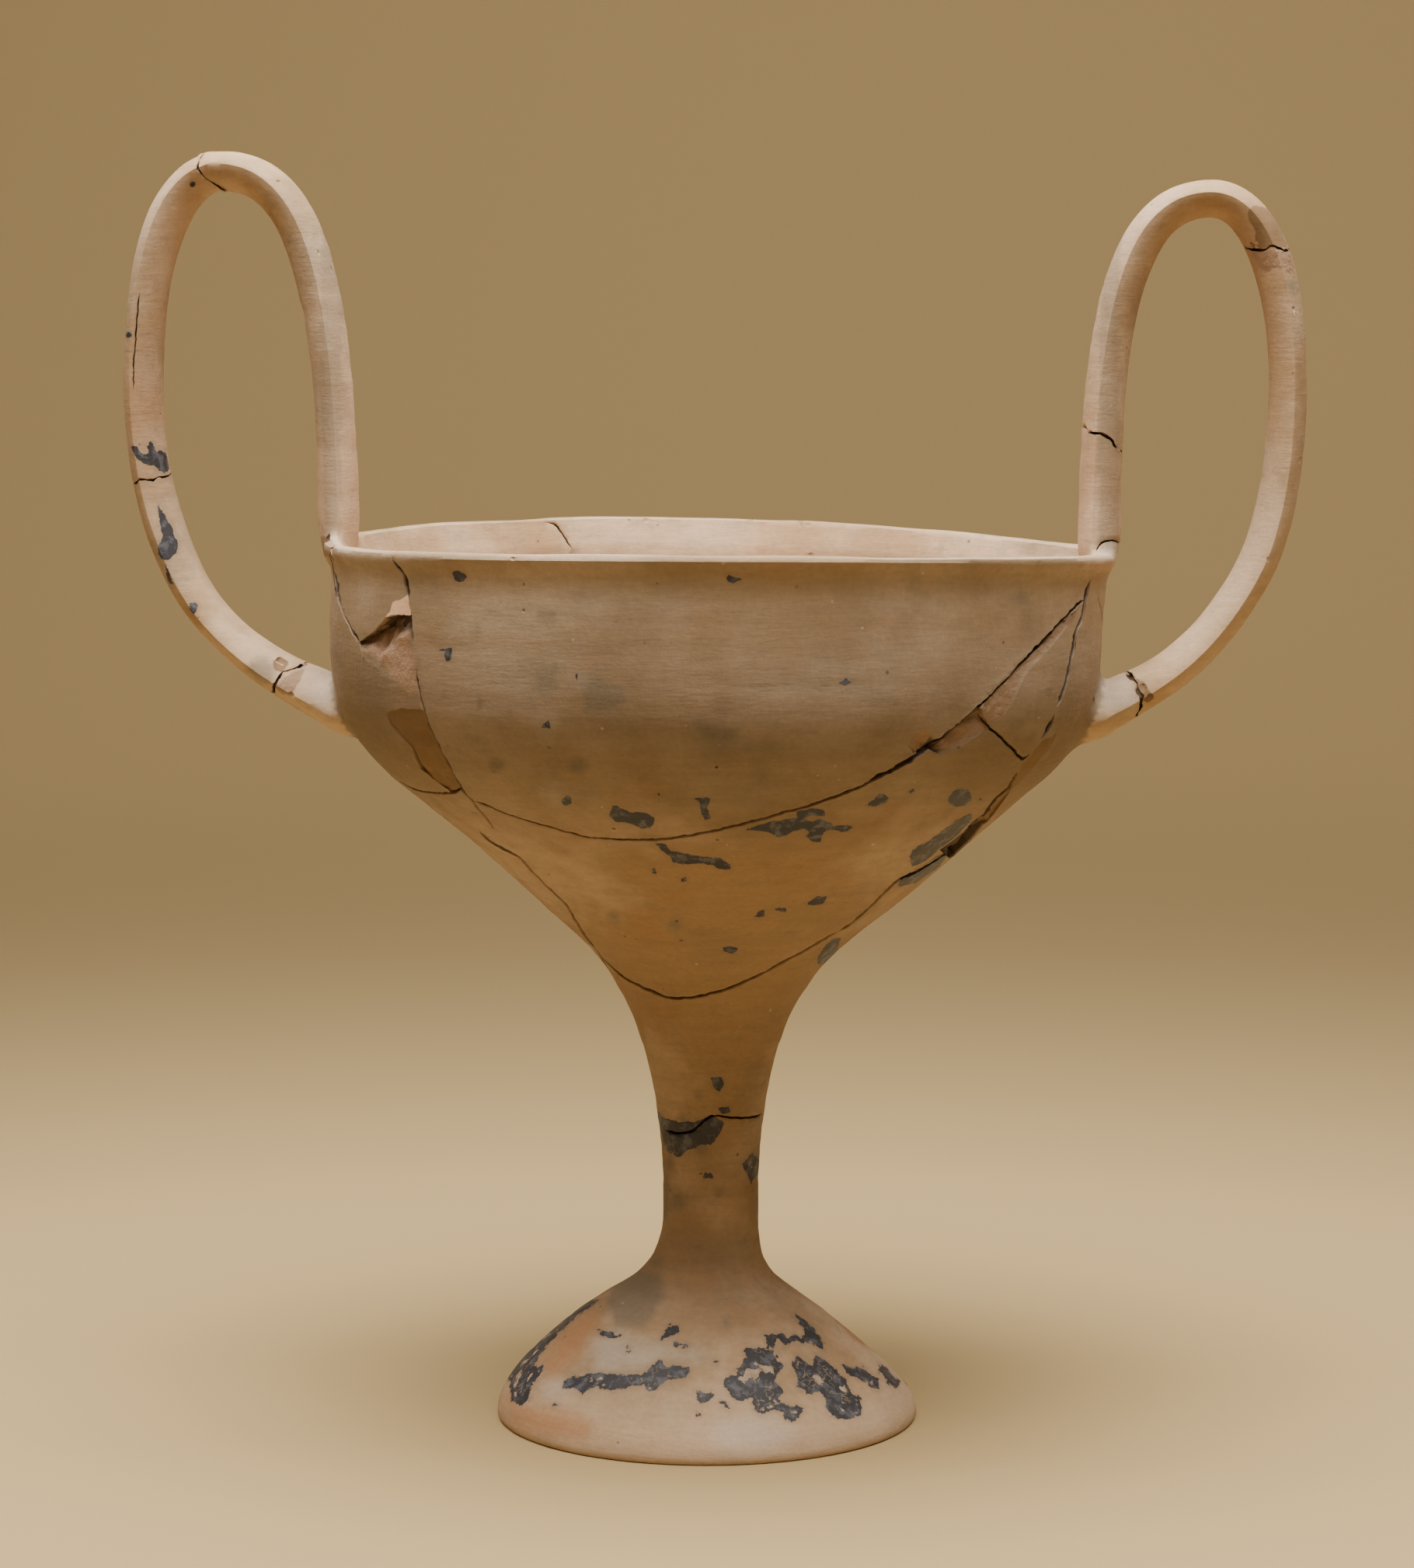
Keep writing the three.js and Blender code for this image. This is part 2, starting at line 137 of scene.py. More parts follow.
# What lies on the clay and how it is coloured, each as outlines in the photograph.
MARKS = {
    "coat": [
        [(169, 576), (174, 572), (179, 581), (189, 589), (192, 581), (188, 569), (193, 567), (198, 576),
         (201, 584), (207, 580), (212, 581), (216, 594), (217, 604), (212, 609), (207, 604), (202, 610),
         (201, 599), (192, 598), (184, 595), (174, 586)],
        [(203, 646), (208, 648), (211, 661), (217, 672), (223, 682), (224, 692), (229, 695), (227, 710),
         (220, 717), (215, 721), (207, 718), (203, 708), (206, 700), (211, 692), (208, 682), (206, 666)],
        [(212, 723), (217, 734), (222, 754), (215, 744)],
        [(246, 772), (255, 780), (249, 790), (243, 783)],
        [(582, 736), (591, 735), (600, 742), (596, 750), (587, 747)],
        [(935, 740), (953, 745), (944, 750), (937, 747)],
        [(573, 834), (581, 834), (580, 850), (574, 852), (572, 843)],
        [(1080, 879), (1089, 873), (1097, 879), (1091, 882)],
        [(788, 1039), (794, 1037), (810, 1046), (828, 1046), (843, 1053), (839, 1064), (828, 1066),
         (810, 1059), (792, 1057), (785, 1050)],
        [(893, 1028), (913, 1027), (910, 1041), (915, 1053), (908, 1056), (903, 1044), (901, 1033)],
        [(960, 1068), (989, 1059), (1026, 1053), (1026, 1044), (1047, 1041), (1060, 1043), (1062, 1050),
         (1051, 1050), (1044, 1048), (1035, 1053), (1040, 1058), (1051, 1057), (1055, 1055), (1069, 1059),
         (1073, 1064), (1087, 1062), (1096, 1065), (1087, 1071), (1073, 1067), (1060, 1070), (1055, 1084),
         (1047, 1083), (1038, 1077), (1044, 1070), (1033, 1066), (1020, 1070), (1006, 1077), (1000, 1076),
         (989, 1070)],
        [(1114, 1035), (1127, 1030), (1131, 1022), (1140, 1022), (1143, 1030), (1134, 1035), (1122, 1038)],
        [(1220, 1030), (1225, 1021), (1234, 1016), (1247, 1018), (1250, 1028), (1243, 1037), (1232, 1038),
         (1223, 1034)],
        [(1172, 1102), (1176, 1093), (1194, 1084), (1230, 1057), (1250, 1046), (1251, 1053), (1230, 1077),
         (1207, 1095), (1185, 1111), (1174, 1115)],
        [(1156, 1140), (1160, 1129), (1185, 1117), (1203, 1104), (1216, 1097), (1218, 1104), (1203, 1120),
         (1180, 1135), (1163, 1140)],
        [(843, 1085), (855, 1086), (863, 1095), (881, 1099), (899, 1103), (926, 1105), (939, 1113),
         (939, 1119), (926, 1117), (917, 1113), (899, 1111), (881, 1112), (868, 1110), (863, 1102),
         (850, 1092)],
        [(1039, 1164), (1051, 1154), (1064, 1154), (1060, 1162), (1049, 1165)],
        [(930, 1220), (939, 1218), (949, 1221), (942, 1227), (933, 1224)],
        [(1053, 1231), (1062, 1218), (1073, 1209), (1082, 1207), (1078, 1220), (1069, 1236), (1053, 1241)],
        [(971, 1179), (982, 1171), (984, 1178), (977, 1180)],
        [(993, 1169), (1011, 1169), (1011, 1174), (1004, 1172)],
        [(845, 1429), (853, 1439), (873, 1445), (893, 1445), (916, 1437), (932, 1445), (926, 1459),
         (916, 1473), (901, 1473), (885, 1481), (873, 1489), (857, 1479), (853, 1459), (846, 1445)],
        [(916, 1388), (929, 1387), (931, 1397), (926, 1404), (919, 1399)],
        [(924, 1426), (938, 1425), (940, 1431), (930, 1433)],
        [(900, 1511), (916, 1509), (918, 1515), (908, 1518)],
        [(956, 1499), (968, 1484), (978, 1495), (974, 1514), (966, 1523), (963, 1509)],
        [(1025, 1692), (1039, 1702), (1051, 1716), (1061, 1735), (1051, 1734), (1043, 1725), (1033, 1730),
         (1021, 1724), (1011, 1730), (999, 1721), (995, 1732), (989, 1734), (986, 1719), (995, 1717),
         (1007, 1716), (1015, 1723), (1023, 1718), (1031, 1723), (1037, 1716), (1029, 1702)],
        [(961, 1736), (980, 1734), (995, 1738), (999, 1752), (1009, 1756), (1001, 1766), (997, 1779),
         (1007, 1791), (999, 1799), (1011, 1809), (1035, 1810), (1031, 1819), (1023, 1829), (1011, 1827),
         (1009, 1817), (995, 1813), (980, 1820), (970, 1815), (968, 1799), (950, 1803), (940, 1795),
         (930, 1779), (936, 1773), (950, 1769), (948, 1764), (958, 1756)],
        [(1019, 1754), (1027, 1747), (1047, 1758), (1051, 1744), (1067, 1756), (1078, 1766), (1088, 1775),
         (1094, 1791), (1106, 1799), (1108, 1819), (1090, 1827), (1074, 1823), (1065, 1813), (1063, 1799),
         (1055, 1789), (1039, 1793), (1027, 1783), (1026, 1769)],
        [(1086, 1756), (1094, 1762), (1110, 1758), (1118, 1769), (1130, 1775), (1131, 1787), (1122, 1786),
         (1114, 1777), (1100, 1771), (1088, 1766)],
        [(1130, 1756), (1142, 1760), (1146, 1769), (1158, 1777), (1154, 1786), (1144, 1781), (1138, 1769),
         (1132, 1766)],
        [(895, 1791), (920, 1795), (912, 1801), (902, 1806)],
        [(758, 1673), (770, 1673), (738, 1696), (719, 1716), (699, 1736), (685, 1760), (699, 1758),
         (697, 1769), (685, 1779), (679, 1803), (671, 1808), (659, 1803), (657, 1779), (651, 1769),
         (663, 1754), (691, 1724), (723, 1696)],
        [(730, 1773), (739, 1771), (742, 1775), (758, 1769), (762, 1783), (750, 1794), (736, 1785),
         (725, 1786)],
        [(762, 1769), (786, 1768), (806, 1771), (829, 1769), (837, 1760), (849, 1750), (857, 1760),
         (873, 1758), (887, 1762), (883, 1771), (869, 1773), (853, 1779), (837, 1793), (829, 1783),
         (810, 1783), (786, 1789), (766, 1783)],
        [(853, 1718), (861, 1707), (873, 1708), (873, 1714), (861, 1720), (851, 1724)],
        [(770, 1710), (782, 1716), (802, 1718), (790, 1722), (774, 1718)],
    ],
    "stain": [
        [(685, 861), (720, 858), (721, 892), (700, 897), (686, 890)],
        [(740, 862), (760, 868), (780, 880), (803, 888), (800, 912), (775, 917), (754, 912), (752, 890)],
        [(890, 923), (910, 930), (948, 938), (953, 952), (925, 953), (905, 946)],
        [(971, 990), (985, 992), (989, 1005), (978, 1008)],
        [(694, 785), (716, 786), (714, 803), (698, 800)],
        [(607, 801), (616, 803), (617, 829), (609, 829)],
        [(798, 1633), (850, 1640), (853, 1668), (830, 1708), (792, 1706), (780, 1672)],
        [(316, 863), (331, 847), (341, 846), (349, 852), (353, 865), (347, 878), (334, 878)],
        [(1653, 360), (1668, 360), (1667, 379), (1656, 372)],
        [(853, 1508), (860, 1512), (861, 1560), (854, 1566)],
        [(869, 1540), (880, 1538), (882, 1556), (871, 1558)],
        [(1274, 696), (1282, 694), (1286, 704), (1280, 711), (1274, 705)],
    ],
    "orange": [
        [(762, 1686), (772, 1698), (760, 1720), (737, 1754), (712, 1772), (699, 1776), (703, 1755),
         (722, 1722), (745, 1698)],
        [(646, 1796), (668, 1806), (700, 1812), (738, 1822), (764, 1838), (752, 1850), (706, 1848),
         (665, 1830)],
    ],
    "crust": [
        [(699, 1776), (734, 1783), (728, 1796), (706, 1797)],
        [(918, 1832), (960, 1824), (1019, 1833), (1024, 1848), (1000, 1862), (950, 1868), (916, 1856)],
        [(762, 1724), (800, 1718), (850, 1728), (898, 1742), (896, 1752), (850, 1746), (828, 1762),
         (768, 1764)],
        [(396, 860), (418, 856), (432, 868), (435, 896), (420, 912), (402, 898)],
        [(1411, 904), (1413, 882), (1421, 871), (1443, 868), (1457, 877), (1464, 893), (1465, 913),
         (1443, 915), (1419, 915)],
        [(416, 693), (428, 690), (452, 692), (450, 702), (424, 703)],
        [(1414, 702), (1426, 697), (1440, 700), (1441, 713), (1420, 716)],
        [(736, 863), (750, 865), (755, 874), (746, 880), (736, 874)],
        [(697, 925), (712, 928), (710, 938), (699, 937)],
        [(699, 1018), (714, 1018), (720, 1028), (706, 1028)],
    ],
    "filler": [
        [(463, 828), (483, 814), (497, 793), (529, 792), (531, 826), (536, 869), (538, 888), (528, 893),
         (514, 882), (500, 868), (486, 850), (472, 838)],
    ],
    "dark_filler": [
        [(1364, 931), (1356, 948), (1342, 951), (1328, 970), (1317, 981), (1312, 992), (1295, 1015),
         (1298, 1019), (1312, 1008), (1325, 994), (1342, 975), (1356, 956)],
        [(1297, 1014), (1281, 1026), (1274, 1040), (1258, 1053), (1262, 1061), (1276, 1052), (1288, 1036),
         (1299, 1020)],
        [(496, 917), (516, 911), (545, 913), (551, 932), (565, 961), (579, 988), (594, 1016), (582, 1021),
         (567, 1010), (545, 993), (538, 980), (531, 963), (511, 944), (502, 932)],
        [(1606, 282), (1606, 272), (1612, 264), (1631, 267), (1646, 287), (1653, 304), (1661, 319),
         (1639, 318), (1622, 321), (1614, 314), (1616, 297)],
        [(351, 848), (362, 845), (373, 852), (364, 866), (352, 862)],
        [(1455, 870), (1471, 876), (1479, 888), (1488, 898), (1476, 905), (1469, 900), (1465, 888)],
    ],
    "fracture": [
        [(1196, 967), (1216, 949), (1235, 931), (1254, 915), (1262, 912), (1268, 934), (1270, 938),
         (1251, 946), (1235, 959), (1229, 964), (1213, 962)],
        [(354, 883), (372, 868), (393, 858), (388, 873), (375, 894), (362, 894)],
        [(412, 700), (412, 690), (422, 690), (433, 700), (430, 713), (416, 718)],
        [(1610, 323), (1663, 322), (1666, 350), (1660, 355), (1653, 345), (1641, 345), (1631, 353),
         (1619, 340)],
        [(1169, 959), (1180, 945), (1194, 941), (1198, 947), (1192, 957), (1176, 968)],
        [(1388, 784), (1380, 800), (1366, 812), (1352, 830), (1336, 845), (1322, 858), (1310, 874),
         (1302, 905), (1287, 925), (1272, 930), (1264, 912), (1281, 890), (1301, 869), (1324, 846),
         (1345, 826), (1377, 790)],
    ],
}
# Small round spots of the same kinds: places in the photograph with their radius in millimetres.
SPOTS = {
    "coat": [(166, 430, 0.6), (729, 1031, 1.0), (703, 933, 0.9), (743, 872, 0.7), (790, 804, 0.35),
             (577, 720, 0.45), (611, 1046, 0.45), (568, 836, 0.35), (842, 1121, 0.6), (880, 1132, 0.55),
             (1173, 1017, 0.55), (898, 1819, 0.45), (714, 1809, 0.55), (922, 1755, 0.5), (882, 1734, 0.5),
             (871, 1731, 0.35), (808, 1737, 0.6), (930, 1806, 0.35), (938, 1812, 0.3), (1000, 1745, 0.3),
             (1236, 1035, 0.3), (1262, 1029, 0.35), (248, 237, 0.5), (840, 669, 0.5)],
    "stain": [(744, 985, 1.6), (870, 1190, 1.4), (790, 1180, 1.2), (640, 985, 1.4), (1352, 890, 0.9),
              (1330, 915, 0.9), (612, 820, 1.0), (617, 905, 0.8), (1315, 770, 1.0), (872, 1546, 1.5),
              (876, 1552, 0.9), (856, 1530, 1.0), (862, 1500, 1.0), (904, 1480, 0.8), (925, 1535, 0.9),
              (898, 1412, 0.9), (880, 1440, 1.1), (846, 1625, 1.0), (829, 1652, 0.6), (935, 1702, 1.0)],
}
# Small losses: place in the photograph and size in millimetres.
CHIPS = [(420, 698, 1.9), (427, 707, 1.2), (427, 717, 1.2), (660, 719, 0.5), (1044, 714, 0.6),
         (832, 669, 0.9), (966, 669, 0.8), (1030, 672, 1.1), (1040, 674, 0.9), (410, 325, 0.6),
         (426, 345, 0.5), (359, 234, 0.6), (1665, 398, 0.65), (1632, 720, 0.65), (375, 894, 1.1),
         (362, 850, 1.2), (1470, 886, 1.2), (1480, 896, 0.8), (1612, 316, 1.0), (248, 237, 0.7),
         (1674, 592, 0.8), (536, 878, 0.6), (1456, 873, 0.8), (1234, 962, 0.7)]

# Places where clay has gone: columns of places in the photograph, with the depth there in millimetres.
POCKETS = {
    "lost_sherd": [
        [(462, 826, 0.6), (463, 831, 0.2), (465, 838, 0.08), (468, 848, -0.02)],
        [(480, 813, 2.8), (484, 827, 1.4), (488, 842, 0.4), (492, 866, -0.02)],
        [(497, 794, 3.0), (501, 812, 1.9), (506, 836, 0.6), (511, 880, -0.02)],
        [(512, 791, 3.0), (515, 806, 1.8), (519, 834, 0.5), (524, 890, -0.02)],
        [(530, 791, 2.6), (531, 806, 1.2), (534, 830, 0.25), (540, 896, -0.02)],
    ],
    "low_fill": [
        [(496, 917, 0.02), (506, 934, 0.1), (530, 962, 0.2), (544, 991, 0.45), (567, 1009, 0.2),
         (582, 1021, 0.3)],
        [(516, 912, 0.15), (528, 934, 0.35), (545, 963, 0.4), (559, 989, 0.5), (574, 1004, 0.5),
         (588, 1019, 0.5)],
        [(545, 913, 0.2), (552, 932, 0.4), (565, 961, 0.5), (579, 988, 0.6), (586, 1002, 0.6),
         (594, 1016, 0.5)],
    ],
    "right_gap": [
        [(1297, 1013, 0.2), (1299, 1016, 0.4), (1299, 1020, 0.2)],
        [(1280, 1027, 0.4), (1284, 1031, 0.6), (1288, 1036, 0.4)],
        [(1266, 1046, 0.4), (1270, 1050, 0.6), (1273, 1056, 0.4)],
        [(1259, 1052, 1.2), (1263, 1056, 1.6), (1266, 1061, 1.2)],
        [(1251, 1058, 1.8), (1254, 1066, 2.4), (1256, 1074, 1.8)],
        [(1240, 1071, 2.0), (1243, 1081, 2.6), (1245, 1088, 2.0)],
        [(1222, 1085, 2.0), (1228, 1093, 2.6), (1233, 1098, 2.0)],
        [(1209, 1094, 1.0), (1216, 1099, 1.6), (1222, 1105, 1.0)],
    ],
    "flake": [
        [(1168, 959, 0.05), (1172, 964, 0.35), (1176, 970, 0.6)],
        [(1180, 945, 0.1), (1184, 955, 0.6), (1189, 966, 0.9)],
        [(1194, 941, 0.1), (1196, 949, 0.6), (1199, 959, 0.9)],
        [(1200, 946, 0.05), (1204, 949, 0.3), (1208, 953, 0.5)],
    ],
    "fracture_face": [
        [(1196, 965, 1.0), (1204, 969, 0.5), (1212, 972, 0.05)],
        [(1216, 947, 1.5), (1224, 956, 0.8), (1232, 966, 0.05)],
        [(1238, 928, 1.5), (1246, 940, 0.9), (1253, 950, 0.05)],
        [(1261, 909, 1.2), (1266, 924, 0.8), (1271, 939, 0.05)],
    ],
    "worn_edge": [
        [(1388, 782, 0.3), (1386, 788, 0.15), (1384, 793, 0.03)],
        [(1362, 806, 0.5), (1364, 811, 0.3), (1367, 816, 0.03)],
        [(1340, 829, 0.7), (1342, 837, 0.4), (1344, 843, 0.03)],
        [(1317, 853, 0.6), (1319, 859, 0.35), (1322, 865, 0.03)],
        [(1290, 882, 0.5), (1296, 893, 0.35), (1303, 905, 0.03)],
        [(1265, 907, 0.5), (1275, 918, 0.35), (1285, 929, 0.03)],
    ],
}
HOLE = [(497, 794), (503, 784), (505, 775), (510, 773), (515, 772), (525, 766), (527, 779), (529, 792),
        (504, 791)]


def length(name, description, mm):
    """A size in metres whose default is written in millimetres."""
    return FloatProperty(name=name, description=description, default=mm * MM, min=-1, max=1, precision=5,
                         unit="LENGTH", subtype="DISTANCE")


def power(name, description, watts):
    """The strength of a light."""
    return FloatProperty(name=name, description=description, default=watts, min=0, unit="POWER")


def tint(name, description, rgb):
    """A colour in linear red, green and blue."""
    return FloatVectorProperty(name=name, description=description, default=rgb, size=3, min=0, max=1,
                               subtype="COLOR")


class CupSizes(bpy.types.PropertyGroup):
    """Sizes of the cup, the same as those that its solid is made from."""

    foot_radius: length("Foot radius", "Outer radius of the foot", 43)
    foot_edge: length("Foot edge", "Height of the rounded edge of the foot", 8)
    foot_height: length("Foot height", "Height at which the cone of the foot ends", 26)
    foot_top_radius: length("Foot top radius", "Radius at which the cone of the foot ends", 17.6)
    ring_width: length("Ring width", "Width of the flat ring that the cup stands on", 4.8)
    hollow_height: length("Hollow height", "Height of the domed hollow under the foot", 16)
    stem_radius: length("Stem radius", "Radius of the stem at its waist", 9.75)
    stem_sweep: length("Stem sweep", "Height from the cone of the foot to the waist", 15.7)
    stem_rise: length("Stem rise", "Height from the waist to the cone of the bowl", 58.5)
    base_radius: length("Bowl base radius", "Radius at which the cone of the bowl begins", 29.2)
    cone_height: length("Cone height", "Height of the cone of the bowl", 31.8)
    cone_top_radius: length("Cone top radius", "Radius at which the cone ends", 65.6)
    shoulder_height: length("Shoulder height", "Height of the rounded shoulder", 23)
    wall_radius: length("Wall radius", "Radius of the upright wall", 77.4)
    wall_height: length("Wall height", "Height from the shoulder to the top of the lip", 25)
    lip_height: length("Lip height", "Height of the out-turned lip", 6.5)
    rim_radius: length("Rim radius", "Outer radius of the lip", 79.5)
    wall: length("Wall", "Thickness of the wall", 3.9)
    cone_wall: length("Cone wall", "Thickness of the cone of the bowl", 4.8)
    bowl_floor: length("Bowl floor", "How far the inside reaches below the start of the cone", 8)
    strap_width: length("Strap width", "Width of a handle", 16)
    strap_thickness: length("Strap thickness", "Thickness of a handle", 7.8)
    joint_depth: length("Joint depth", "How far a handle is pressed down inside the rim", 6)
    joint_spread: length("Joint spread", "How much wider a handle is on the rim", 6)
    root_spread: length("Root spread", "How much wider a handle is on the shoulder", 8)
    root_swell: length("Root swell", "How much thicker a handle is on the shoulder", 4)
    root_height: length("Root height", "How far the root of a handle lies below the shoulder", 12)
    rim_dip: length("Rim dip", "How far the rim dips towards the handles", 1.9)
    rim_tilt: length("Rim tilt", "How far the rim leans to the right", 1.2)
    rim_twist: length("Rim twist", "How far the rim is twisted out of level", 0.6)
    slit_depth: length("Join depth", "Depth of an open join between two sherds", 1.5)
    lip_wear: length("Edge wear", "Width of the worn edge beside a join", 0.45)
    turns: IntProperty(name="Facets", description="Facets around the cup", default=208, min=24, max=400)
    section_points: IntProperty(name="Strap facets", description="Facets around a handle", default=32, min=8,
                                max=96)


class CupFinish(bpy.types.PropertyGroup):
    """Colours of the clay and of what lies on it."""

    clay: tint("Clay", "Pinkish-buff fired clay", (0.44, 0.29, 0.165))
    pale_clay: tint("Pale clay", "Clay where it is worn or fired paler", (0.59, 0.425, 0.29))
    orange_clay: tint("Orange clay", "Clay where it is fired redder", (0.46, 0.235, 0.115))
    # This colour also serves as painted shade on the outside of the bowl, from the shoulder up to the rim.
    grey_clay: tint("Grey clay", "Clay where it is clouded grey", (0.275, 0.22, 0.155))
    coat: tint("Coating", "Remains of the dark coating", (0.030, 0.034, 0.048))
    coat_grey: tint("Grey coating", "Coating where it is worn to a blue-grey", (0.105, 0.115, 0.145))
    coat_edge: tint("Coating edge", "Coating where it is worn thin", (0.20, 0.15, 0.12))
    filler: tint("Filler", "Modern filling between the sherds", (0.42, 0.25, 0.165))
    dark_filler: tint("Dark filler", "Darker modern filling and bruised clay", (0.20, 0.118, 0.055))
    fracture: tint("Fracture", "Broken face of the clay", (0.30, 0.185, 0.115))
    crust: tint("Crust", "Whitish lime on the clay", (0.62, 0.54, 0.46))
    # This colour also serves as painted shade in the deepest hollows, under the tongue and on the sides of
    # the hole.
    dirt: tint("Dirt", "Dirt in the joins and pits", (0.07, 0.045, 0.03))


class CupStage(bpy.types.PropertyGroup):
    """Floor, light and camera."""

    floor: tint("Floor", "Plain pale floor", (0.47, 0.34, 0.165))
    overhead_watts: power("Overhead", "Strength of the soft light above", 4.9)
    front_watts: power("Front", "Strength of the soft light in front", 0.1)
    back_watts: power("Back", "Strength of the soft light on the backdrop", 22)
    ambient: tint("Ambient", "Colour of the light from all round", (1.0, 0.70, 0.36))
    ambient_strength: FloatProperty(name="Ambient strength", default=0.02, min=0,
                                    description="Strength of the light from all round")


class Wire:
    """A socket of a node tree that takes part in sums as a number does."""

    def __init__(self, board, socket):
        self.board = board
        self.socket = socket

    def __add__(self, other):
        return self.board.maths("ADD", self, other)

    def __radd__(self, other):
        return self.board.maths("ADD", other, self)

    def __sub__(self, other):
        return self.board.maths("SUBTRACT", self, other)

    def __rsub__(self, other):
        return self.board.maths("SUBTRACT", other, self)

    def __mul__(self, other):
        return self.board.maths("MULTIPLY", self, other)

    def __rmul__(self, other):
        return self.board.maths("MULTIPLY", other, self)

    def __truediv__(self, other):
        return self.board.maths("DIVIDE", self, other)

    def __pow__(self, other):
        return self.board.maths("POWER", self, other)


class Board:
    """A node tree while it is wired."""

    def __init__(self, tree):
        self.tree = tree

    def node(self, kind, settings=None, sockets=None, out=0):
        made = self.tree.nodes.new(kind)
        for name, value in (settings or {}).items():
            setattr(made, name, value)
        for name, value in (sockets or {}).items():
            if isinstance(value, Wire):
                self.tree.links.new(value.socket, made.inputs[name])
            else:
                made.inputs[name].default_value = value
        return Wire(self, made.outputs[out])

    def maths(self, operation, *values):
        return self.node("ShaderNodeMath", {"operation": operation}, dict(enumerate(values)))

    def step(self, value, low, high):
        """0 below low, 1 above high, with a soft change between; the other way round where low is higher."""
        return self.node("ShaderNodeMapRange", {"interpolation_type": "SMOOTHSTEP"},
                         {"Value": value, "From Min": low, "From Max": high})

    def mix(self, factor, a, b, blend="MIX"):
        return self.node("ShaderNodeMix", {"data_type": "RGBA", "blend_type": blend},
                         {0: factor, 6: a, 7: b}, 2)

    def parts(self, vector):
        split = self.tree.nodes.new("ShaderNodeSeparateXYZ")
        self.tree.links.new(vector.socket, split.inputs[0])
        return [Wire(self, out) for out in split.outputs]

    def vector(self, x, y, z):
        return self.node("ShaderNodeCombineXYZ", None, {0: x, 1: y, 2: z})


class Shaper(Board):
    """A geometry tree with named inputs that skins a grid over a row of stations."""

    WELD_GAP = 0.004

    def __init__(self, name, inputs):
        super().__init__(bpy.data.node_groups.new(name, "GeometryNodeTree"))
        face = self.tree.interface
        face.new_socket(name="Geometry", in_out="INPUT", socket_type="NodeSocketGeometry")
        for label, kind in inputs.items():
            face.new_socket(name=label, in_out="INPUT", socket_type=kind)
        face.new_socket(name="Geometry", in_out="OUTPUT", socket_type="NodeSocketGeometry")
        self.source = self.tree.nodes.new("NodeGroupInput")
        self.geometry = self.input("Geometry")

    def input(self, name):
        return Wire(self, self.source.outputs[name])

    def attribute(self, name, kind="FLOAT"):
        return self.node("GeometryNodeInputNamedAttribute", {"data_type": kind}, {"Name": name})

    def grid(self, columns):
        """A flat grid with a row for each station, and the row and column of each of its points."""
        rows = self.node("GeometryNodeAttributeDomainSize", {"component": "MESH"},
                         {"Geometry": self.geometry})
        sheet = self.node("GeometryNodeMeshGrid", None, {"Vertices X": rows, "Vertices Y": columns + 1})
        index = self.node("GeometryNodeInputIndex")
        row = self.maths("FLOOR", index / (columns + 1))
        return sheet, row, self.maths("MODULO", index, columns + 1)

    def at_row(self, value, row, kind="FLOAT"):
        return self.node("GeometryNodeSampleIndex", {"data_type": kind},
                         {"Geometry": self.geometry, "Value": value, "Index": row})

    def close(self, sheet, position):
        """Puts the grid in place, welds its seam and its ends, and ends the tree."""
        placed = self.node("GeometryNodeSetPosition", None, {"Geometry": sheet, "Position": position})
        welded = self.node("GeometryNodeMergeByDistance", None,
                           {"Geometry": placed, "Distance": self.WELD_GAP * MM})
        self.end(welded)

    def end(self, geometry):
        """Ends the tree with a plain mesh in its material."""
        real = self.node("GeometryNodeRealizeInstances", None, {"Geometry": geometry})
        painted = self.node("GeometryNodeSetMaterial", None,
                            {"Geometry": real, "Material": self.input("Material")})
        sink = self.tree.nodes.new("NodeGroupOutput")
        self.tree.links.new(painted.socket, sink.inputs["Geometry"])


NUMBER = "NodeSocketFloat"
COUNT = "NodeSocketInt"
FINISH = "NodeSocketMaterial"


def turned_tree():
    """Turns an outline on the wheel, with its axis wandering and its rim dipping towards the handles."""
    b = Shaper("turned_wall", {"Facets": COUNT, "Front share": NUMBER, "Rim dip": NUMBER, "Rim tilt": NUMBER,
                               "Rim twist": NUMBER, "Material": FINISH})
    facets = b.input("Facets")
    sheet, row, column = b.grid(facets)
    radius, _, height = b.parts(b.at_row(b.node("GeometryNodeInputPosition"), row, "FLOAT_VECTOR"))
    sway = b.at_row(b.attribute("sway"), row)
    felt = b.at_row(b.attribute("felt"), row)
    even = column / facets * math.tau
    angle = even - b.input("Front share") * b.maths("SINE", even) - math.pi / 2
    cosine = b.maths("COSINE", angle)
    drop = b.input("Rim dip") * cosine * cosine + b.input("Rim tilt") * cosine
    drop = drop + b.input("Rim twist") * b.maths("SINE", angle * 2)
    place = b.vector(radius * cosine + sway, radius * b.maths("SINE", angle), height - drop * felt)
    b.close(sheet, place)
    return b.tree


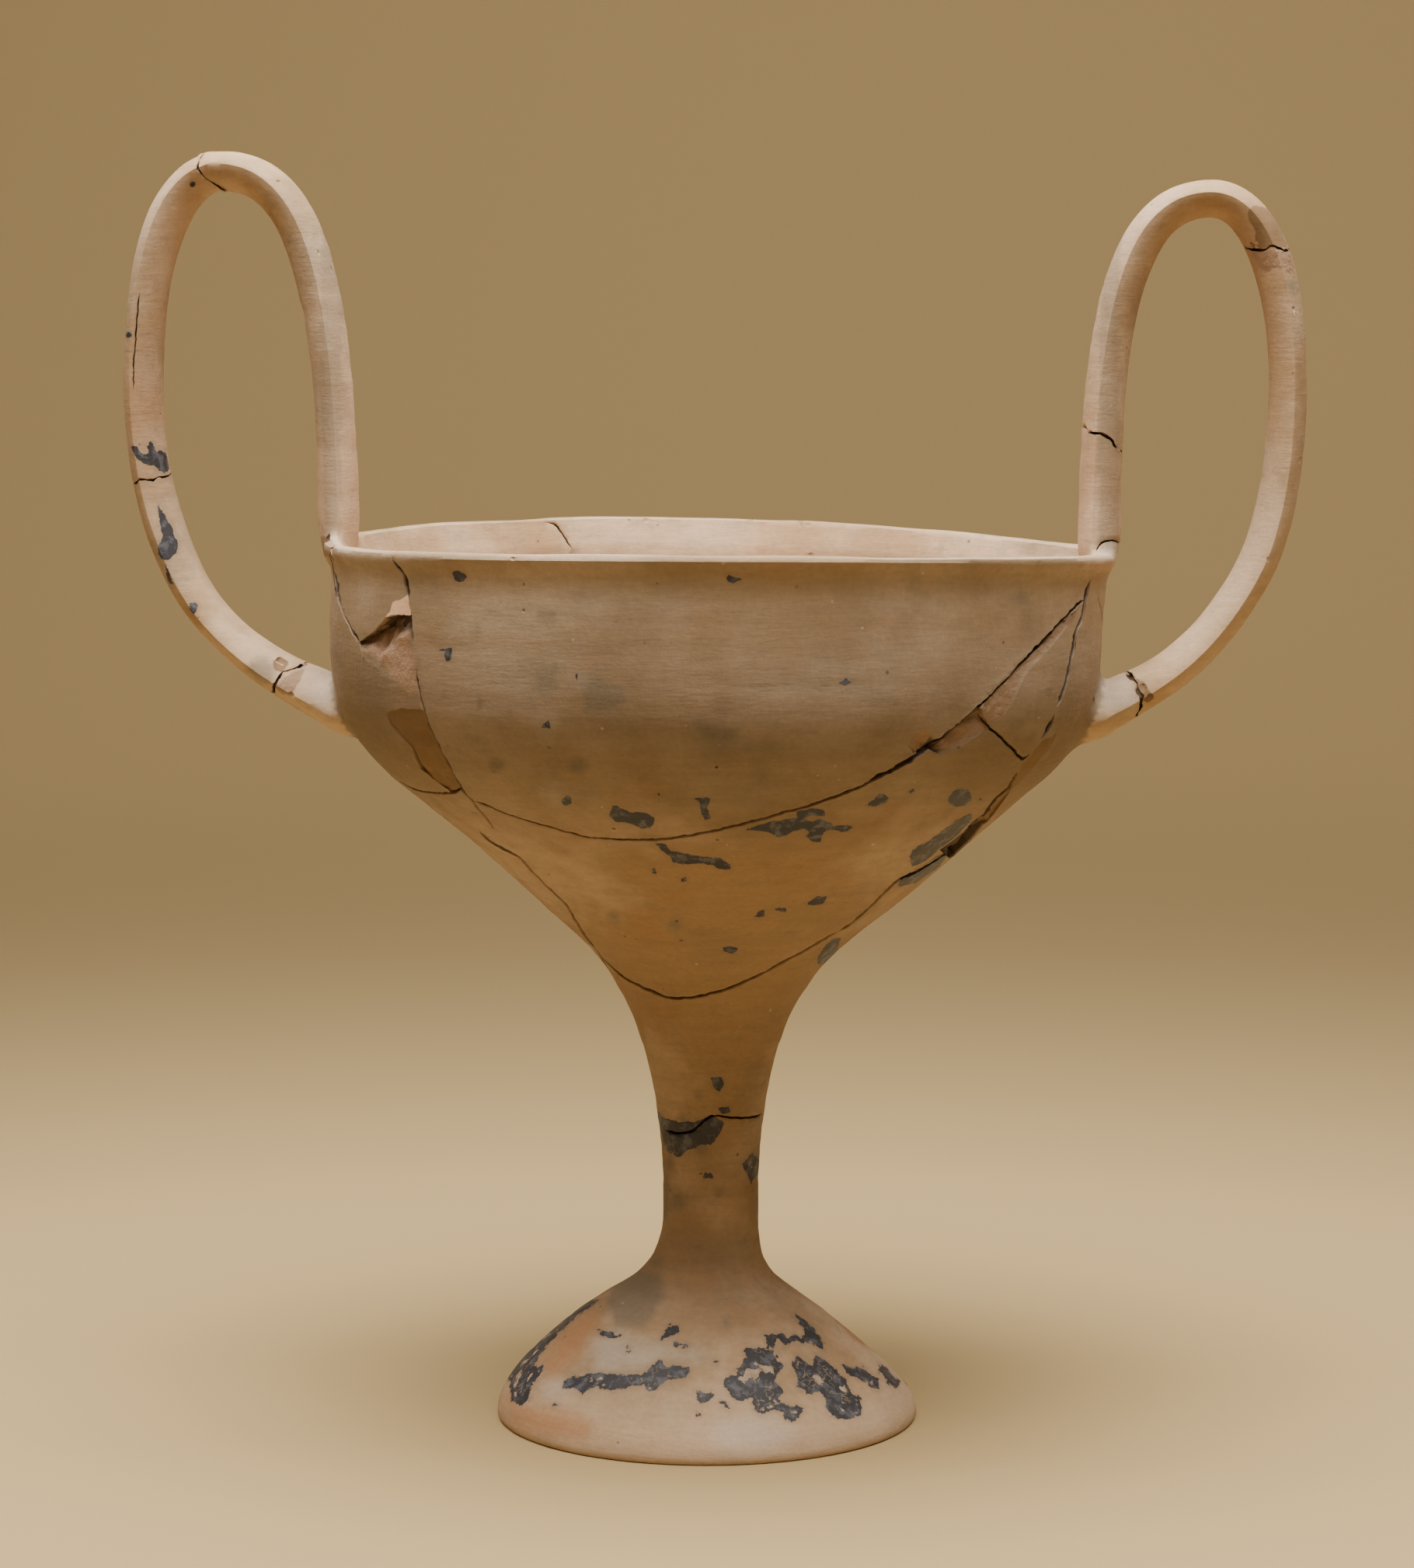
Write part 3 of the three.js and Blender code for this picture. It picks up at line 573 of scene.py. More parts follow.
def strap_tree():
    """Skins a handle over its middle line: flat outside, full inside, wider where it meets the cup."""
    sizes = ["Width", "Thickness", "Joint spread", "Root spread", "Joint swell", "Root swell", "Rim radius",
             "Side", "Arris", "Shrink"]
    joint_reach, root_reach, press_reach = 9, 7, 3
    press_share = 0.4
    outer_fullness, inner_fullness = 0.75, 0.62
    b = Shaper("swung_strap", {"Facets": COUNT, **{name: NUMBER for name in sizes}, "Material": FINISH})
    width, thickness, joint_spread, root_spread, joint_swell, root_swell, rim, side, arris, shrink = (
        b.input(name) for name in sizes)
    facets = b.input("Facets")
    sheet, row, column = b.grid(facets)
    middle_x, _, middle_z = b.parts(b.at_row(b.node("GeometryNodeInputPosition"), row, "FLOAT_VECTOR"))
    heading_x, _, heading_z = b.parts(b.at_row(b.attribute("heading", "FLOAT_VECTOR"), row, "FLOAT_VECTOR"))
    from_joint, from_skin, closing, sway = (
        b.at_row(b.attribute(name), row) for name in ("from_joint", "from_skin", "closing", "sway"))

    def fading(run, reach):
        return b.maths("EXPONENT", run / (-reach * MM))

    at_joint = fading(from_joint, joint_reach)
    at_root = fading(from_skin, root_reach)
    pressed = 1 - press_share * fading(from_joint, press_reach)
    wide = width + joint_spread * at_joint + root_spread * at_root - 2 * shrink
    thick = (thickness + joint_swell * at_joint + root_swell * at_root) * pressed - 2 * shrink
    turn = column / facets * math.tau
    across = b.maths("COSINE", turn)
    edge = b.maths("MAXIMUM", 1 - across * across, 0)
    outward = b.maths("GREATER_THAN", b.maths("SINE", turn), 0)
    stand = outward * arris * edge ** outer_fullness
    stand = stand - (1 - outward) * (1 - arris) * edge ** inner_fullness + 0.5 - arris
    depth = stand * thick * closing
    y = across * wide * closing / 2
    radius = middle_x - heading_z * depth - y * y * at_joint / (2 * rim)
    b.close(sheet, b.vector(side * radius + sway, y, middle_z + heading_x * depth))
    return b.tree


def blade_tree():
    """Skins a ragged blade over a break line: a narrow slit under a worn, wider mouth."""
    sizes = ["Reach", "Mouth width", "Mouth depth", "Raggedness", "Seed"]
    b = Shaper("break_blade", {"Section": "NodeSocketObject", **{name: NUMBER for name in sizes},
                               "Material": FINISH})
    reach, mouth, mouth_depth, ragged, seed = (b.input(name) for name in sizes)
    section = b.node("GeometryNodeObjectInfo", None, {"Object": b.input("Section")}, 4)
    points = b.node("GeometryNodeAttributeDomainSize", {"component": "MESH"}, {"Geometry": section})
    sheet, row, column = b.grid(points)
    place = b.node("GeometryNodeInputPosition")
    column = b.maths("MODULO", column, points)

    def of_section(name):
        value = b.attribute(name, "FLOAT_VECTOR")
        return b.parts(b.node("GeometryNodeSampleIndex", {"data_type": "FLOAT_VECTOR"},
                              {"Geometry": section, "Value": value, "Index": column}))

    mouth_share, slit_share, over_share = of_section("spread")
    lip_share, deep_share, own_side = of_section("sink")
    centre = b.at_row(place, row, "FLOAT_VECTOR")
    over = b.at_row(b.attribute("over", "FLOAT_VECTOR"), row, "FLOAT_VECTOR")
    aside = b.at_row(b.attribute("aside", "FLOAT_VECTOR"), row, "FLOAT_VECTOR")
    half, deep, closing = (b.at_row(b.attribute(name), row) for name in ("half", "deep", "closing"))

    def rough(offset, scale):
        """Random values about 0 along the break, finer where the scale is larger."""
        noise = b.node("ShaderNodeTexNoise", {"noise_dimensions": "4D"},
                       {"Vector": centre, "W": seed + offset, "Scale": scale, "Detail": 2.0,
                        "Roughness": 0.6})
        return noise - 0.5

    def scaled(vector, by):
        return b.node("ShaderNodeVectorMath", {"operation": "SCALE"}, {0: vector, "Scale": by})

    def added(one, two):
        return b.node("ShaderNodeVectorMath", {"operation": "ADD"}, {0: one, 1: two})

    wander = rough(0.0, 420) * 2.4 + rough(5.0, 1500) * 1.2
    swell = 1 + rough(11.0, 700) * 1.6 + rough(own_side * 3 + 17, 1300) * 1.2
    sideways = mouth_share * mouth * swell + slit_share * half * swell
    sideways = (sideways + wander * ragged) * closing
    upright = (over_share * reach - lip_share * mouth_depth - deep_share * deep) * closing
    b.close(sheet, added(added(centre, scaled(aside, sideways)), scaled(over, upright)))
    return b.tree


def pit_tree():
    """Scatters small lumps over a skin, each of which leaves a pit."""
    b = Shaper("grit_pits", {"Density": NUMBER, "Spacing": NUMBER, "Pit size": NUMBER, "Seed": COUNT,
                             "Material": FINISH})
    scatter = b.tree.nodes.new("GeometryNodeDistributePointsOnFaces")
    scatter.distribute_method = "POISSON"
    fed = {"Mesh": b.geometry, "Distance Min": b.input("Spacing"), "Density Max": b.input("Density"),
           "Seed": b.input("Seed")}
    for name, wire in fed.items():
        b.tree.links.new(wire.socket, scatter.inputs[name])
    lump = b.node("GeometryNodeMeshIcoSphere", None, {"Radius": b.input("Pit size"), "Subdivisions": 2})
    size = b.node("FunctionNodeRandomValue", {"data_type": "FLOAT_VECTOR"},
                  {"Min": (0.45, 0.45, 0.35), "Max": (1.1, 1.1, 0.8), "Seed": b.input("Seed")})
    turned = b.node("GeometryNodeInstanceOnPoints", None,
                    {"Points": Wire(b, scatter.outputs["Points"]), "Instance": lump, "Scale": size,
                     "Rotation": Wire(b, scatter.outputs["Rotation"])})
    b.end(turned)
    return b.tree


class KitMesh:
    """Meshes as plain arrays, in metres, and the steps between them."""

    @staticmethod
    def line(name, points, floats=None, vectors=None):
        """A row of stations with what each one knows."""
        mesh = bpy.data.meshes.new(name)
        mesh.from_pydata([tuple(p) for p in points], [(i, i + 1) for i in range(len(points) - 1)], [])
        for label, values in (floats or {}).items():
            mesh.attributes.new(label, "FLOAT", "POINT").data.foreach_set("value", np.asarray(values, float))
        for label, values in (vectors or {}).items():
            data = mesh.attributes.new(label, "FLOAT_VECTOR", "POINT").data
            data.foreach_set("vector", np.asarray(values, float).ravel())
        return mesh

    @staticmethod
    def grown(tree, mesh, inputs):
        """What a geometry tree makes of a mesh, as a plain closed mesh that faces outwards."""
        holder = bpy.data.objects.new(mesh.name, mesh)
        bpy.context.scene.collection.objects.link(holder)
        modifier = holder.modifiers.new("shape", "NODES")
        modifier.node_group = tree
        slots = {item.name: item.identifier for item in tree.interface.items_tree if item.in_out == "INPUT"}
        for name, value in inputs.items():
            modifier[slots[name]] = value
        bpy.context.view_layer.update()
        graph = bpy.context.evaluated_depsgraph_get()
        made = bpy.data.meshes.new_from_object(holder.evaluated_get(graph))
        holder.modifiers.clear()
        bpy.data.objects.remove(holder)
        KitMesh.face_out(made)
        return made

    @staticmethod
    def face_out(mesh):
        """Turns the faces of a closed mesh outwards."""
        work = bmesh.new()
        work.from_mesh(mesh)
        bmesh.ops.recalc_face_normals(work, faces=work.faces)
        if work.calc_volume(signed=True) < 0:
            bmesh.ops.reverse_faces(work, faces=work.faces)
        work.to_mesh(mesh)
        work.free()

    @staticmethod
    def combined(mesh, others):
        """The mesh after a list of (operation, other mesh), one after the other."""
        holder = bpy.data.objects.new("work", mesh)
        bpy.context.scene.collection.objects.link(holder)
        tools = []
        for operation, other in others:
            tool = bpy.data.objects.new("tool", other)
            bpy.context.scene.collection.objects.link(tool)
            modifier = holder.modifiers.new("cut", "BOOLEAN")
            modifier.operation = operation
            modifier.solver = "MANIFOLD"
            modifier.object = tool
            tools.append(tool)
        bpy.context.view_layer.update()
        graph = bpy.context.evaluated_depsgraph_get()
        made = bpy.data.meshes.new_from_object(holder.evaluated_get(graph))
        for thing in [holder, *tools]:
            thing.modifiers.clear()
            bpy.data.objects.remove(thing)
        return made

    @staticmethod
    def points(mesh):
        place = np.empty(len(mesh.vertices) * 3)
        mesh.vertices.foreach_get("co", place)
        return place.reshape(-1, 3)

    @staticmethod
    def normals(mesh):
        facing = np.empty(len(mesh.vertices) * 3)
        mesh.vertex_normals.foreach_get("vector", facing)
        return facing.reshape(-1, 3)

    @staticmethod
    def move(mesh, place):
        mesh.vertices.foreach_set("co", place.ravel())
        mesh.update()

    @staticmethod
    def tree_of(mesh):
        """A search tree over the faces of a mesh, as it is now."""
        work = bmesh.new()
        work.from_mesh(mesh)
        bmesh.ops.triangulate(work, faces=work.faces)
        tree = BVHTree.FromBMesh(work)
        work.free()
        return tree


def smooth(t):
    """0 below 0, 1 above 1 and a soft change between."""
    u = np.clip(t, 0, 1)
    return u * u * (3 - 2 * u)


def bend(points, spacing):
    """Points along a cubic curve, about one spacing apart."""
    a, b, c, d = (np.array(p, float) for p in points)
    run = np.linalg.norm(b - a) + np.linalg.norm(c - b) + np.linalg.norm(d - c)
    t = np.linspace(0, 1, max(round(run / spacing), 1) + 1)[:, None]
    return (1 - t) ** 3 * a + 3 * (1 - t) ** 2 * t * b + 3 * (1 - t) * t * t * c + t ** 3 * d


def straight(a, b, spacing):
    """Points along a straight line, about one spacing apart."""
    a, b = np.array(a, float), np.array(b, float)
    t = np.linspace(0, 1, max(round(np.linalg.norm(b - a) / spacing), 1) + 1)[:, None]
    return a + (b - a) * t


def joined(*runs):
    """One run of points from several, each of which starts where the last one ended."""
    return np.concatenate([runs[0], *(run[1:] for run in runs[1:])])


class CupForm:
    """The outlines and middle lines of the cup, in millimetres."""

    OUTER_SPACING = 1.42
    INNER_SPACING = 3.6
    HOLLOW_SPACING = 4.5
    RING_SPACING = 2.4
    MOUTH_SPACING = 1.4
    STRAP_SPACING = 1.1
    COUNTS = ("turns", "section_points")

    def __init__(self, sizes):
        for name in type(sizes).__annotations__:
            value = getattr(sizes, name)
            setattr(self, name, value if name in self.COUNTS else value / MM)
        self.waist = self.foot_height + self.stem_sweep
        self.cone = self.waist + self.stem_rise
        self.shoulder = self.cone + self.cone_height
        self.upright = self.shoulder + self.shoulder_height
        self.rim = self.upright + self.wall_height
        self.neck = self.rim - self.lip_height
        self.slope = (self.cone_top_radius - self.base_radius) / self.cone_height
        self.outer = self.outer_outline()

    def outer_outline(self):
        """The outside from the foot's edge to the top of the lip, as radius and height."""
        gap = self.OUTER_SPACING
        edge = (self.foot_radius - 3.8, self.foot_edge)
        foot_top = (self.foot_top_radius, self.foot_height)
        waist = (self.stem_radius, self.waist)
        base = (self.base_radius, self.cone)
        cone_top = (self.cone_top_radius, self.shoulder)
        wall_foot = (self.wall_radius, self.upright)
        neck = (self.wall_radius + 0.3, self.neck)
        lip = (self.rim_radius, self.rim - 1)
        radius = self.foot_radius

        def along(start, run):
            return start[0] + run * self.slope, start[1] + run

        return joined(
            np.array([(radius - 0.8, 0), (radius - 0.25, 0.25), (radius, 0.8)]),
            bend([(radius, 0.8), (radius, 3), (radius - 1.6, self.foot_edge - 2.4), edge], gap),
            bend([edge, (edge[0] - 6.4, edge[1] + 6.6),
                  (foot_top[0] + 8.4, foot_top[1] - 5.4), foot_top], gap),
            bend([foot_top, (foot_top[0] - 5.4, foot_top[1] + 3.5), (waist[0], waist[1] - 8.2), waist], gap),
            bend([waist, (waist[0], waist[1] + 22.3), along(base, -15.6), base], gap),
            bend([base, along(base, 10.2), along(cone_top, -10.8), cone_top], gap),
            bend([cone_top, along(cone_top, 8), (wall_foot[0] - 0.4, wall_foot[1] - 8), wall_foot], gap),
            straight(wall_foot, neck, gap),
            bend([neck, (neck[0], neck[1] + 3), (lip[0], lip[1] - 1.5), lip], gap * 0.7),
            np.array([lip, (lip[0] - 0.25, self.rim - 0.3), (lip[0] - 0.8, self.rim)]),
        )

    def whole_outline(self):
        """From the hollow under the foot, over the outside and the lip, to the floor of the bowl."""
        ring = (self.foot_radius - 0.8 - self.ring_width, 0)
        crown = (0, self.hollow_height)
        dome = bend([crown, (ring[0] * 0.4, self.hollow_height),
                     (ring[0] - 8, self.hollow_height * 0.6), ring], self.HOLLOW_SPACING)
        gap = self.INNER_SPACING
        inset = self.cone_wall * math.hypot(1, self.slope)
        cone_low = (self.base_radius - inset + 2, self.cone + 2)
        cone_top = (self.cone_top_radius - inset, self.shoulder)
        wall_foot = (self.wall_radius - self.wall, self.upright)
        neck = (wall_foot[0] + 0.3, self.neck)
        mouth = (self.rim_radius - self.wall, self.rim - 1.2)
        lip_end = (self.rim_radius - 0.8, self.rim)
        floor = (0, self.cone - self.bowl_floor)
        slope = (cone_top[0] - cone_low[0]) / (cone_top[1] - cone_low[1])
        return joined(
            dome,
            straight(ring, (self.foot_radius - 0.8, 0), self.RING_SPACING),
            self.outer,
            straight(lip_end, (mouth[0] + 1, self.rim), 1),
            np.array([(mouth[0] + 1, self.rim), (mouth[0] + 0.3, self.rim - 0.35), mouth]),
            straight(mouth, neck, self.MOUTH_SPACING),
            straight(neck, wall_foot, gap),
            bend([wall_foot, (wall_foot[0] - 0.4, wall_foot[1] - 8),
                  (cone_top[0] + 8 * slope, cone_top[1] + 8), cone_top], gap),
            straight(cone_top, cone_low, gap),
            bend([cone_low, (cone_low[0] - 4 * slope, cone_low[1] - 4),
                  (cone_low[0] * 0.55, floor[1]), floor], gap),
        )

    def radius_at(self, height):
        return np.interp(height, self.outer[:, 1], self.outer[:, 0])

    def sway_at(self, height):
        """Sideways place of the axis at a height."""
        heights = [0, self.foot_height * 0.54, self.waist + 3.3, self.cone - 20,
                   (self.cone + self.shoulder) / 2, self.upright + 7, self.rim]
        places = [0, -1.4, 0.6, 0.9, 2.9, 1.8, 2.6]
        height = np.asarray(height, float)
        result = np.full(height.shape, float(places[0]))
        for z0, z1, x0, x1 in zip(heights, heights[1:], places, places[1:]):
            result = np.where(height >= z0, x0 + (x1 - x0) * smooth((height - z0) / (z1 - z0)), result)
        return result

    def felt_at(self, height):
        """How much of the rim's dip is felt at a height."""
        return smooth((height - self.upright + 5) / (self.rim - self.upright + 5))

    def skin_point(self, degrees, height):
        """A place on the outside of the cup."""
        angle = math.radians(degrees)
        side = math.cos(angle)
        drop = self.rim_dip * side * side + self.rim_tilt * side + self.rim_twist * math.sin(2 * angle)
        radius = self.radius_at(height)
        return (radius * side + float(self.sway_at(height)), radius * math.sin(angle),
                height - drop * float(self.felt_at(height)))

    def strap_line(self, handle):
        """The middle line of a handle in its own plane: distance from the axis, and height."""
        start = (self.rim_radius - self.wall / 2 - handle["inset"], self.rim - self.joint_depth)
        crown = (start[0] + handle["crown"], self.rim + handle["rise"])
        widest = (start[0] + handle["reach"], self.rim + handle["widest"])
        root = (self.wall_radius - self.wall - 5.5, self.upright - self.root_height)
        out, down = widest[0] - crown[0], crown[1] - widest[1]
        gap = self.STRAP_SPACING
        return joined(
            bend([start, (start[0] - 0.4, start[1] + 0.657 * (crown[1] - start[1])),
                  (crown[0] - 0.793 * handle["crown"], crown[1]), crown], gap),
            bend([crown, (crown[0] + 0.61 * out, crown[1]),
                  (widest[0], widest[1] + 0.6 * down), widest], gap),
            bend([widest, (widest[0], widest[1] - 0.54 * (widest[1] - root[1])),
                  (root[0] + 33.5, root[1] + 9), root], gap),
        )


# The two handles: side, rise of the crown over the rim, how far out crown and widest place lie, height of
# the widest place over the rim, how far in from the lip it starts and how much thicker it is there, in mm.
HANDLES = [
    {"side": -1, "rise": 73.1, "crown": 22.7, "reach": 39.8, "widest": 29.5, "inset": 0, "swell": 0},
    {"side": 1, "rise": 67, "crown": 21.3, "reach": 37, "widest": 29.5, "inset": 1.6, "swell": 2.2},
]


def camera_turn():
    """The way the camera faces."""
    return Euler((math.radians(90 - CAMERA_PITCH), 0, math.radians(CAMERA_TURN)))


def camera_place():
    """Where the camera stands, in metres."""
    turn = math.radians(CAMERA_TURN)
    return Vector((CAMERA_DISTANCE * math.sin(turn), -CAMERA_DISTANCE * math.cos(turn), CAMERA_HEIGHT)) * MM


def sight(px, py):
    """The line of sight through a place in the photograph."""
    ray = Vector(((px - FRAME_PX[0] / 2) / FOCAL_PX, (FRAME_PX[1] / 2 - py) / FOCAL_PX, -1))
    ray.rotate(camera_turn())
    return ray.normalized()


def seen_at(place):
    """Where points in metres show in the photograph, in its pixels."""
    turn = np.array(camera_turn().to_matrix())
    local = (place - np.array(camera_place())) @ turn
    return np.stack([FRAME_PX[0] / 2 - FOCAL_PX * local[:, 0] / local[:, 2],
                     FRAME_PX[1] / 2 + FOCAL_PX * local[:, 1] / local[:, 2]], axis=1)


def cast(skin, px, py):
    """The place on a skin that shows at a place in the photograph, and the way it faces."""
    origin, ray = camera_place(), sight(px, py)
    place, normal, _, _ = skin.ray_cast(origin, ray)
    if place is None:
        place, normal, _, _ = skin.find_nearest(origin + ray * CAMERA_DISTANCE * MM)
    return np.array(place), np.array(normal)


def field(place, size, seed, count=10):
    """Smooth random values between about -2 and 2 over places in millimetres, with humps of one size."""
    rng = np.random.default_rng(seed)
    way = rng.normal(size=(count, 3))
    way /= np.linalg.norm(way, axis=1)[:, None]
    way *= (math.tau / size * rng.uniform(0.7, 1.3, count))[:, None]
    return np.cos(place @ way.T + rng.uniform(0, math.tau, count)).sum(axis=1) / math.sqrt(count / 2)


def polygon_distance(at, corners):
    """Signed distance of places to the edge of a polygon, negative inside."""
    corners = np.array(corners, float)
    nearest = np.full(len(at), np.inf)
    inside = np.zeros(len(at), bool)
    for a, b in zip(corners, np.roll(corners, -1, axis=0)):
        edge, rel = b - a, at - a
        share = np.clip(rel @ edge / (edge @ edge), 0, 1)
        nearest = np.minimum(nearest, np.linalg.norm(rel - share[:, None] * edge, axis=1))
        crosses = (a[1] > at[:, 1]) != (b[1] > at[:, 1])
        rise = edge[1] if edge[1] else 1e-9
        inside ^= crosses & (at[:, 0] < a[0] + edge[0] * (at[:, 1] - a[1]) / rise)
    return np.where(inside, -nearest, nearest)


def closed_sheet(name, top, bottom):
    """A closed solid between two grids of places."""
    rows, columns, _ = top.shape
    count = rows * columns

    def at(i, j):
        return i * columns + j

    faces = []
    for i in range(rows - 1):
        for j in range(columns - 1):
            quad = (at(i, j), at(i + 1, j), at(i + 1, j + 1), at(i, j + 1))
            faces.append(quad)
            faces.append(tuple(count + v for v in reversed(quad)))
    border = [(i, 0) for i in range(rows)] + [(rows - 1, j) for j in range(1, columns)]
    border += [(i, columns - 1) for i in range(rows - 2, -1, -1)]
    border += [(0, j) for j in range(columns - 2, 0, -1)]
    for a, b in zip(border, border[1:] + border[:1]):
        faces.append((at(*b), at(*a), count + at(*a), count + at(*b)))
    places = np.concatenate([top.reshape(-1, 3), bottom.reshape(-1, 3)])
    mesh = bpy.data.meshes.new(name)
    mesh.from_pydata([tuple(p) for p in places], [], faces)
    KitMesh.face_out(mesh)
    return mesh


def spread_grid(stations, rows, columns):
    """A coarse grid of named places filled in to more rows and columns."""
    coarse = np.array(stations, float)
    across = np.linspace(0, coarse.shape[0] - 1, rows)
    down = np.linspace(0, coarse.shape[1] - 1, columns)
    fine = np.empty((rows, coarse.shape[1], coarse.shape[2]))
    for j in range(coarse.shape[1]):
        for k in range(coarse.shape[2]):
            fine[:, j, k] = np.interp(across, range(coarse.shape[0]), coarse[:, j, k])
    full = np.empty((rows, columns, coarse.shape[2]))
    for i in range(rows):
        for k in range(coarse.shape[2]):
            full[i, :, k] = np.interp(down, range(coarse.shape[1]), fine[i, :, k])
    return full


class CupMaker:
    """Makes the mesh of the cup, in metres, from its outlines and the places of its breaks."""

    SEED = 7
    # Millimetres, apart from the passes, rates and shares.
    BREAK_STEP = 0.65
    JOIN_STEP = 0.7
    OVERHANG = 0.3
    MOUTH_DEPTH = 0.12
    RAGGEDNESS = 0.4
    DEEPEST_JOIN = 2.3
    CORE_INSET = 1.1
    ROOT_BURIED = 9
    HANDLE_PLANE = -5
    JOIN_HALF_DEPTH = 15
    BLEND_FROM_RADIUS = 62
    BLEND_FROM_HEIGHT = 120
    POCKET_LID = 1.4
    WINDOW_REACH = (2, 13)
    WINDOW_POINTS = 40
    FACING_LIMIT = -0.15
    SHARP_DEGREES = 42
    ARRIS = 0.36
    FRONT_SHARE = 0.36
    BLEND_REACH = 3.4
    BLEND_PASSES = 14
    BLEND_RATE = 0.6
    OUTSIDE_SLACK = 2.6
    WALL_SLACK = 1.2
    EDGE_BAND = 1.0
    SUNK_SHERD = 0.24
    PROUD_STEP = 0.34
    FARTHEST = 9
    OUT_OF_SIGHT = 60
    # Waves of the wheel's rings: length, height and phase.
    RINGS = ((3.4, 0.018, 1.0), (5.3, 0.03, 2.2), (8.7, 0.035, 0.4), (2.3, 0.012, 4.0))
    # Random spots on the far side: kind, how many, and the least and largest radius.
    FAR_SPOTS = (("coat", 40, 0.5, 3.6), ("stain", 12, 2, 6), ("orange", 4, 3, 7))

    def __init__(self, sizes, material):
        self.form = CupForm(sizes)
        self.material = material
        self.rng = np.random.default_rng(self.SEED)

    def turned(self):
        """The body, turned on the wheel."""
        form = self.form
        radius, height = form.whole_outline().T
        line = KitMesh.line("outline", np.column_stack([radius, 0 * radius, height]) * MM,
                            {"sway": form.sway_at(height) * MM, "felt": form.felt_at(height)})
        return KitMesh.grown(turned_tree(), line, {
            "Facets": form.turns, "Front share": self.FRONT_SHARE, "Rim dip": form.rim_dip * MM,
            "Rim tilt": form.rim_tilt * MM, "Rim twist": form.rim_twist * MM, "Material": self.material})

    def strap(self, tree, handle, shrink):
        """A handle, whose root ends inside the wall."""
        form = self.form
        line = form.strap_line(handle)
        steps = np.linalg.norm(np.diff(line, axis=0), axis=1)
        run = np.concatenate([[0], np.cumsum(steps)])
        heading = np.gradient(line, axis=0)
        heading /= np.linalg.norm(heading, axis=1)[:, None]
        line = np.concatenate([line[:1], line, line[-1:]])
        line3 = np.column_stack([line[:, 0], 0 * line[:, 0], line[:, 1]]) * MM
        heading = np.concatenate([heading[:1], heading, heading[-1:]])
        run = np.concatenate([run[:1], run, run[-1:]])
        closing = np.concatenate([[0], np.ones(len(line) - 2), [0]])
        stations = KitMesh.line("middle", line3, {
            "from_joint": run * MM, "from_skin": np.maximum(run[-1] - run - self.ROOT_BURIED, 0) * MM,
            "closing": closing, "sway": form.sway_at(line[:, 1]) * MM},
            {"heading": np.column_stack([heading[:, 0], 0 * run, heading[:, 1]])})
        mesh = KitMesh.grown(tree, stations, {
            "Facets": form.section_points,
            "Width": form.strap_width * MM, "Thickness": form.strap_thickness * MM,
            "Joint spread": form.joint_spread * MM, "Root spread": form.root_spread * MM,
            "Joint swell": handle["swell"] * MM, "Root swell": form.root_swell * MM,
            "Rim radius": form.rim_radius * MM, "Side": float(handle["side"]), "Arris": self.ARRIS,
            "Shrink": shrink * MM, "Material": self.material})
        place = KitMesh.points(mesh)
        height = place[:, 2] / MM
        centre = form.sway_at(height) * MM
        reach = np.hypot(place[:, 0] - centre, place[:, 1])
        least = (form.radius_at(height) - form.wall * 0.55) * MM
        buried = (height < form.rim - form.joint_depth - 4) & (reach < least)
        share = np.where(buried, least / np.maximum(reach, 1e-6), 1)
        place[:, 0] = centre + (place[:, 0] - centre) * share
        place[:, 1] *= share
        KitMesh.move(mesh, place)
        return mesh

    def soften_joints(self, mesh, wall, straps):
        """Smears the clay over where the handles meet the cup."""
        place = KitMesh.points(mesh)
        near_strap = np.zeros(len(place))
        near_wall = np.zeros(len(place))
        far_out = np.hypot(place[:, 0], place[:, 1]) > self.BLEND_FROM_RADIUS * MM
        close = np.flatnonzero(far_out & (place[:, 2] > self.BLEND_FROM_HEIGHT * MM))
        for i in close:
            spot = Vector(place[i])
            gap = min(strap.find_nearest(spot)[3] for strap in straps)
            near_wall[i] = 1 - wall.find_nearest(spot)[3] / (self.BLEND_REACH * MM)
            near_strap[i] = 1 - gap / (self.BLEND_REACH * MM)
        weight = smooth(near_strap) * smooth(near_wall)
        ends = np.empty(len(mesh.edges) * 2, int)
        mesh.edges.foreach_get("vertices", ends)
        a, b = ends.reshape(-1, 2).T
        count = np.bincount(a, minlength=len(place)) + np.bincount(b, minlength=len(place))
        for _ in range(self.BLEND_PASSES):
            total = np.zeros_like(place)
            np.add.at(total, a, place[b])
            np.add.at(total, b, place[a])
            place += (total / count[:, None] - place) * (self.BLEND_RATE * weight)[:, None]
        KitMesh.move(mesh, place)

    def seen(self, place, facing):
        """Which points of the outside the photograph shows, and where."""
        at = seen_at(place)
        away = np.array(camera_place()) - place
        away /= np.linalg.norm(away, axis=1)[:, None]
        height = place[:, 2] / MM
        reach = np.hypot(place[:, 0] / MM - self.form.sway_at(height), place[:, 1] / MM)
        outside = reach > self.form.radius_at(height) - self.OUTSIDE_SLACK
        return at, outside & ((facing * away).sum(axis=1) > self.FACING_LIMIT), outside

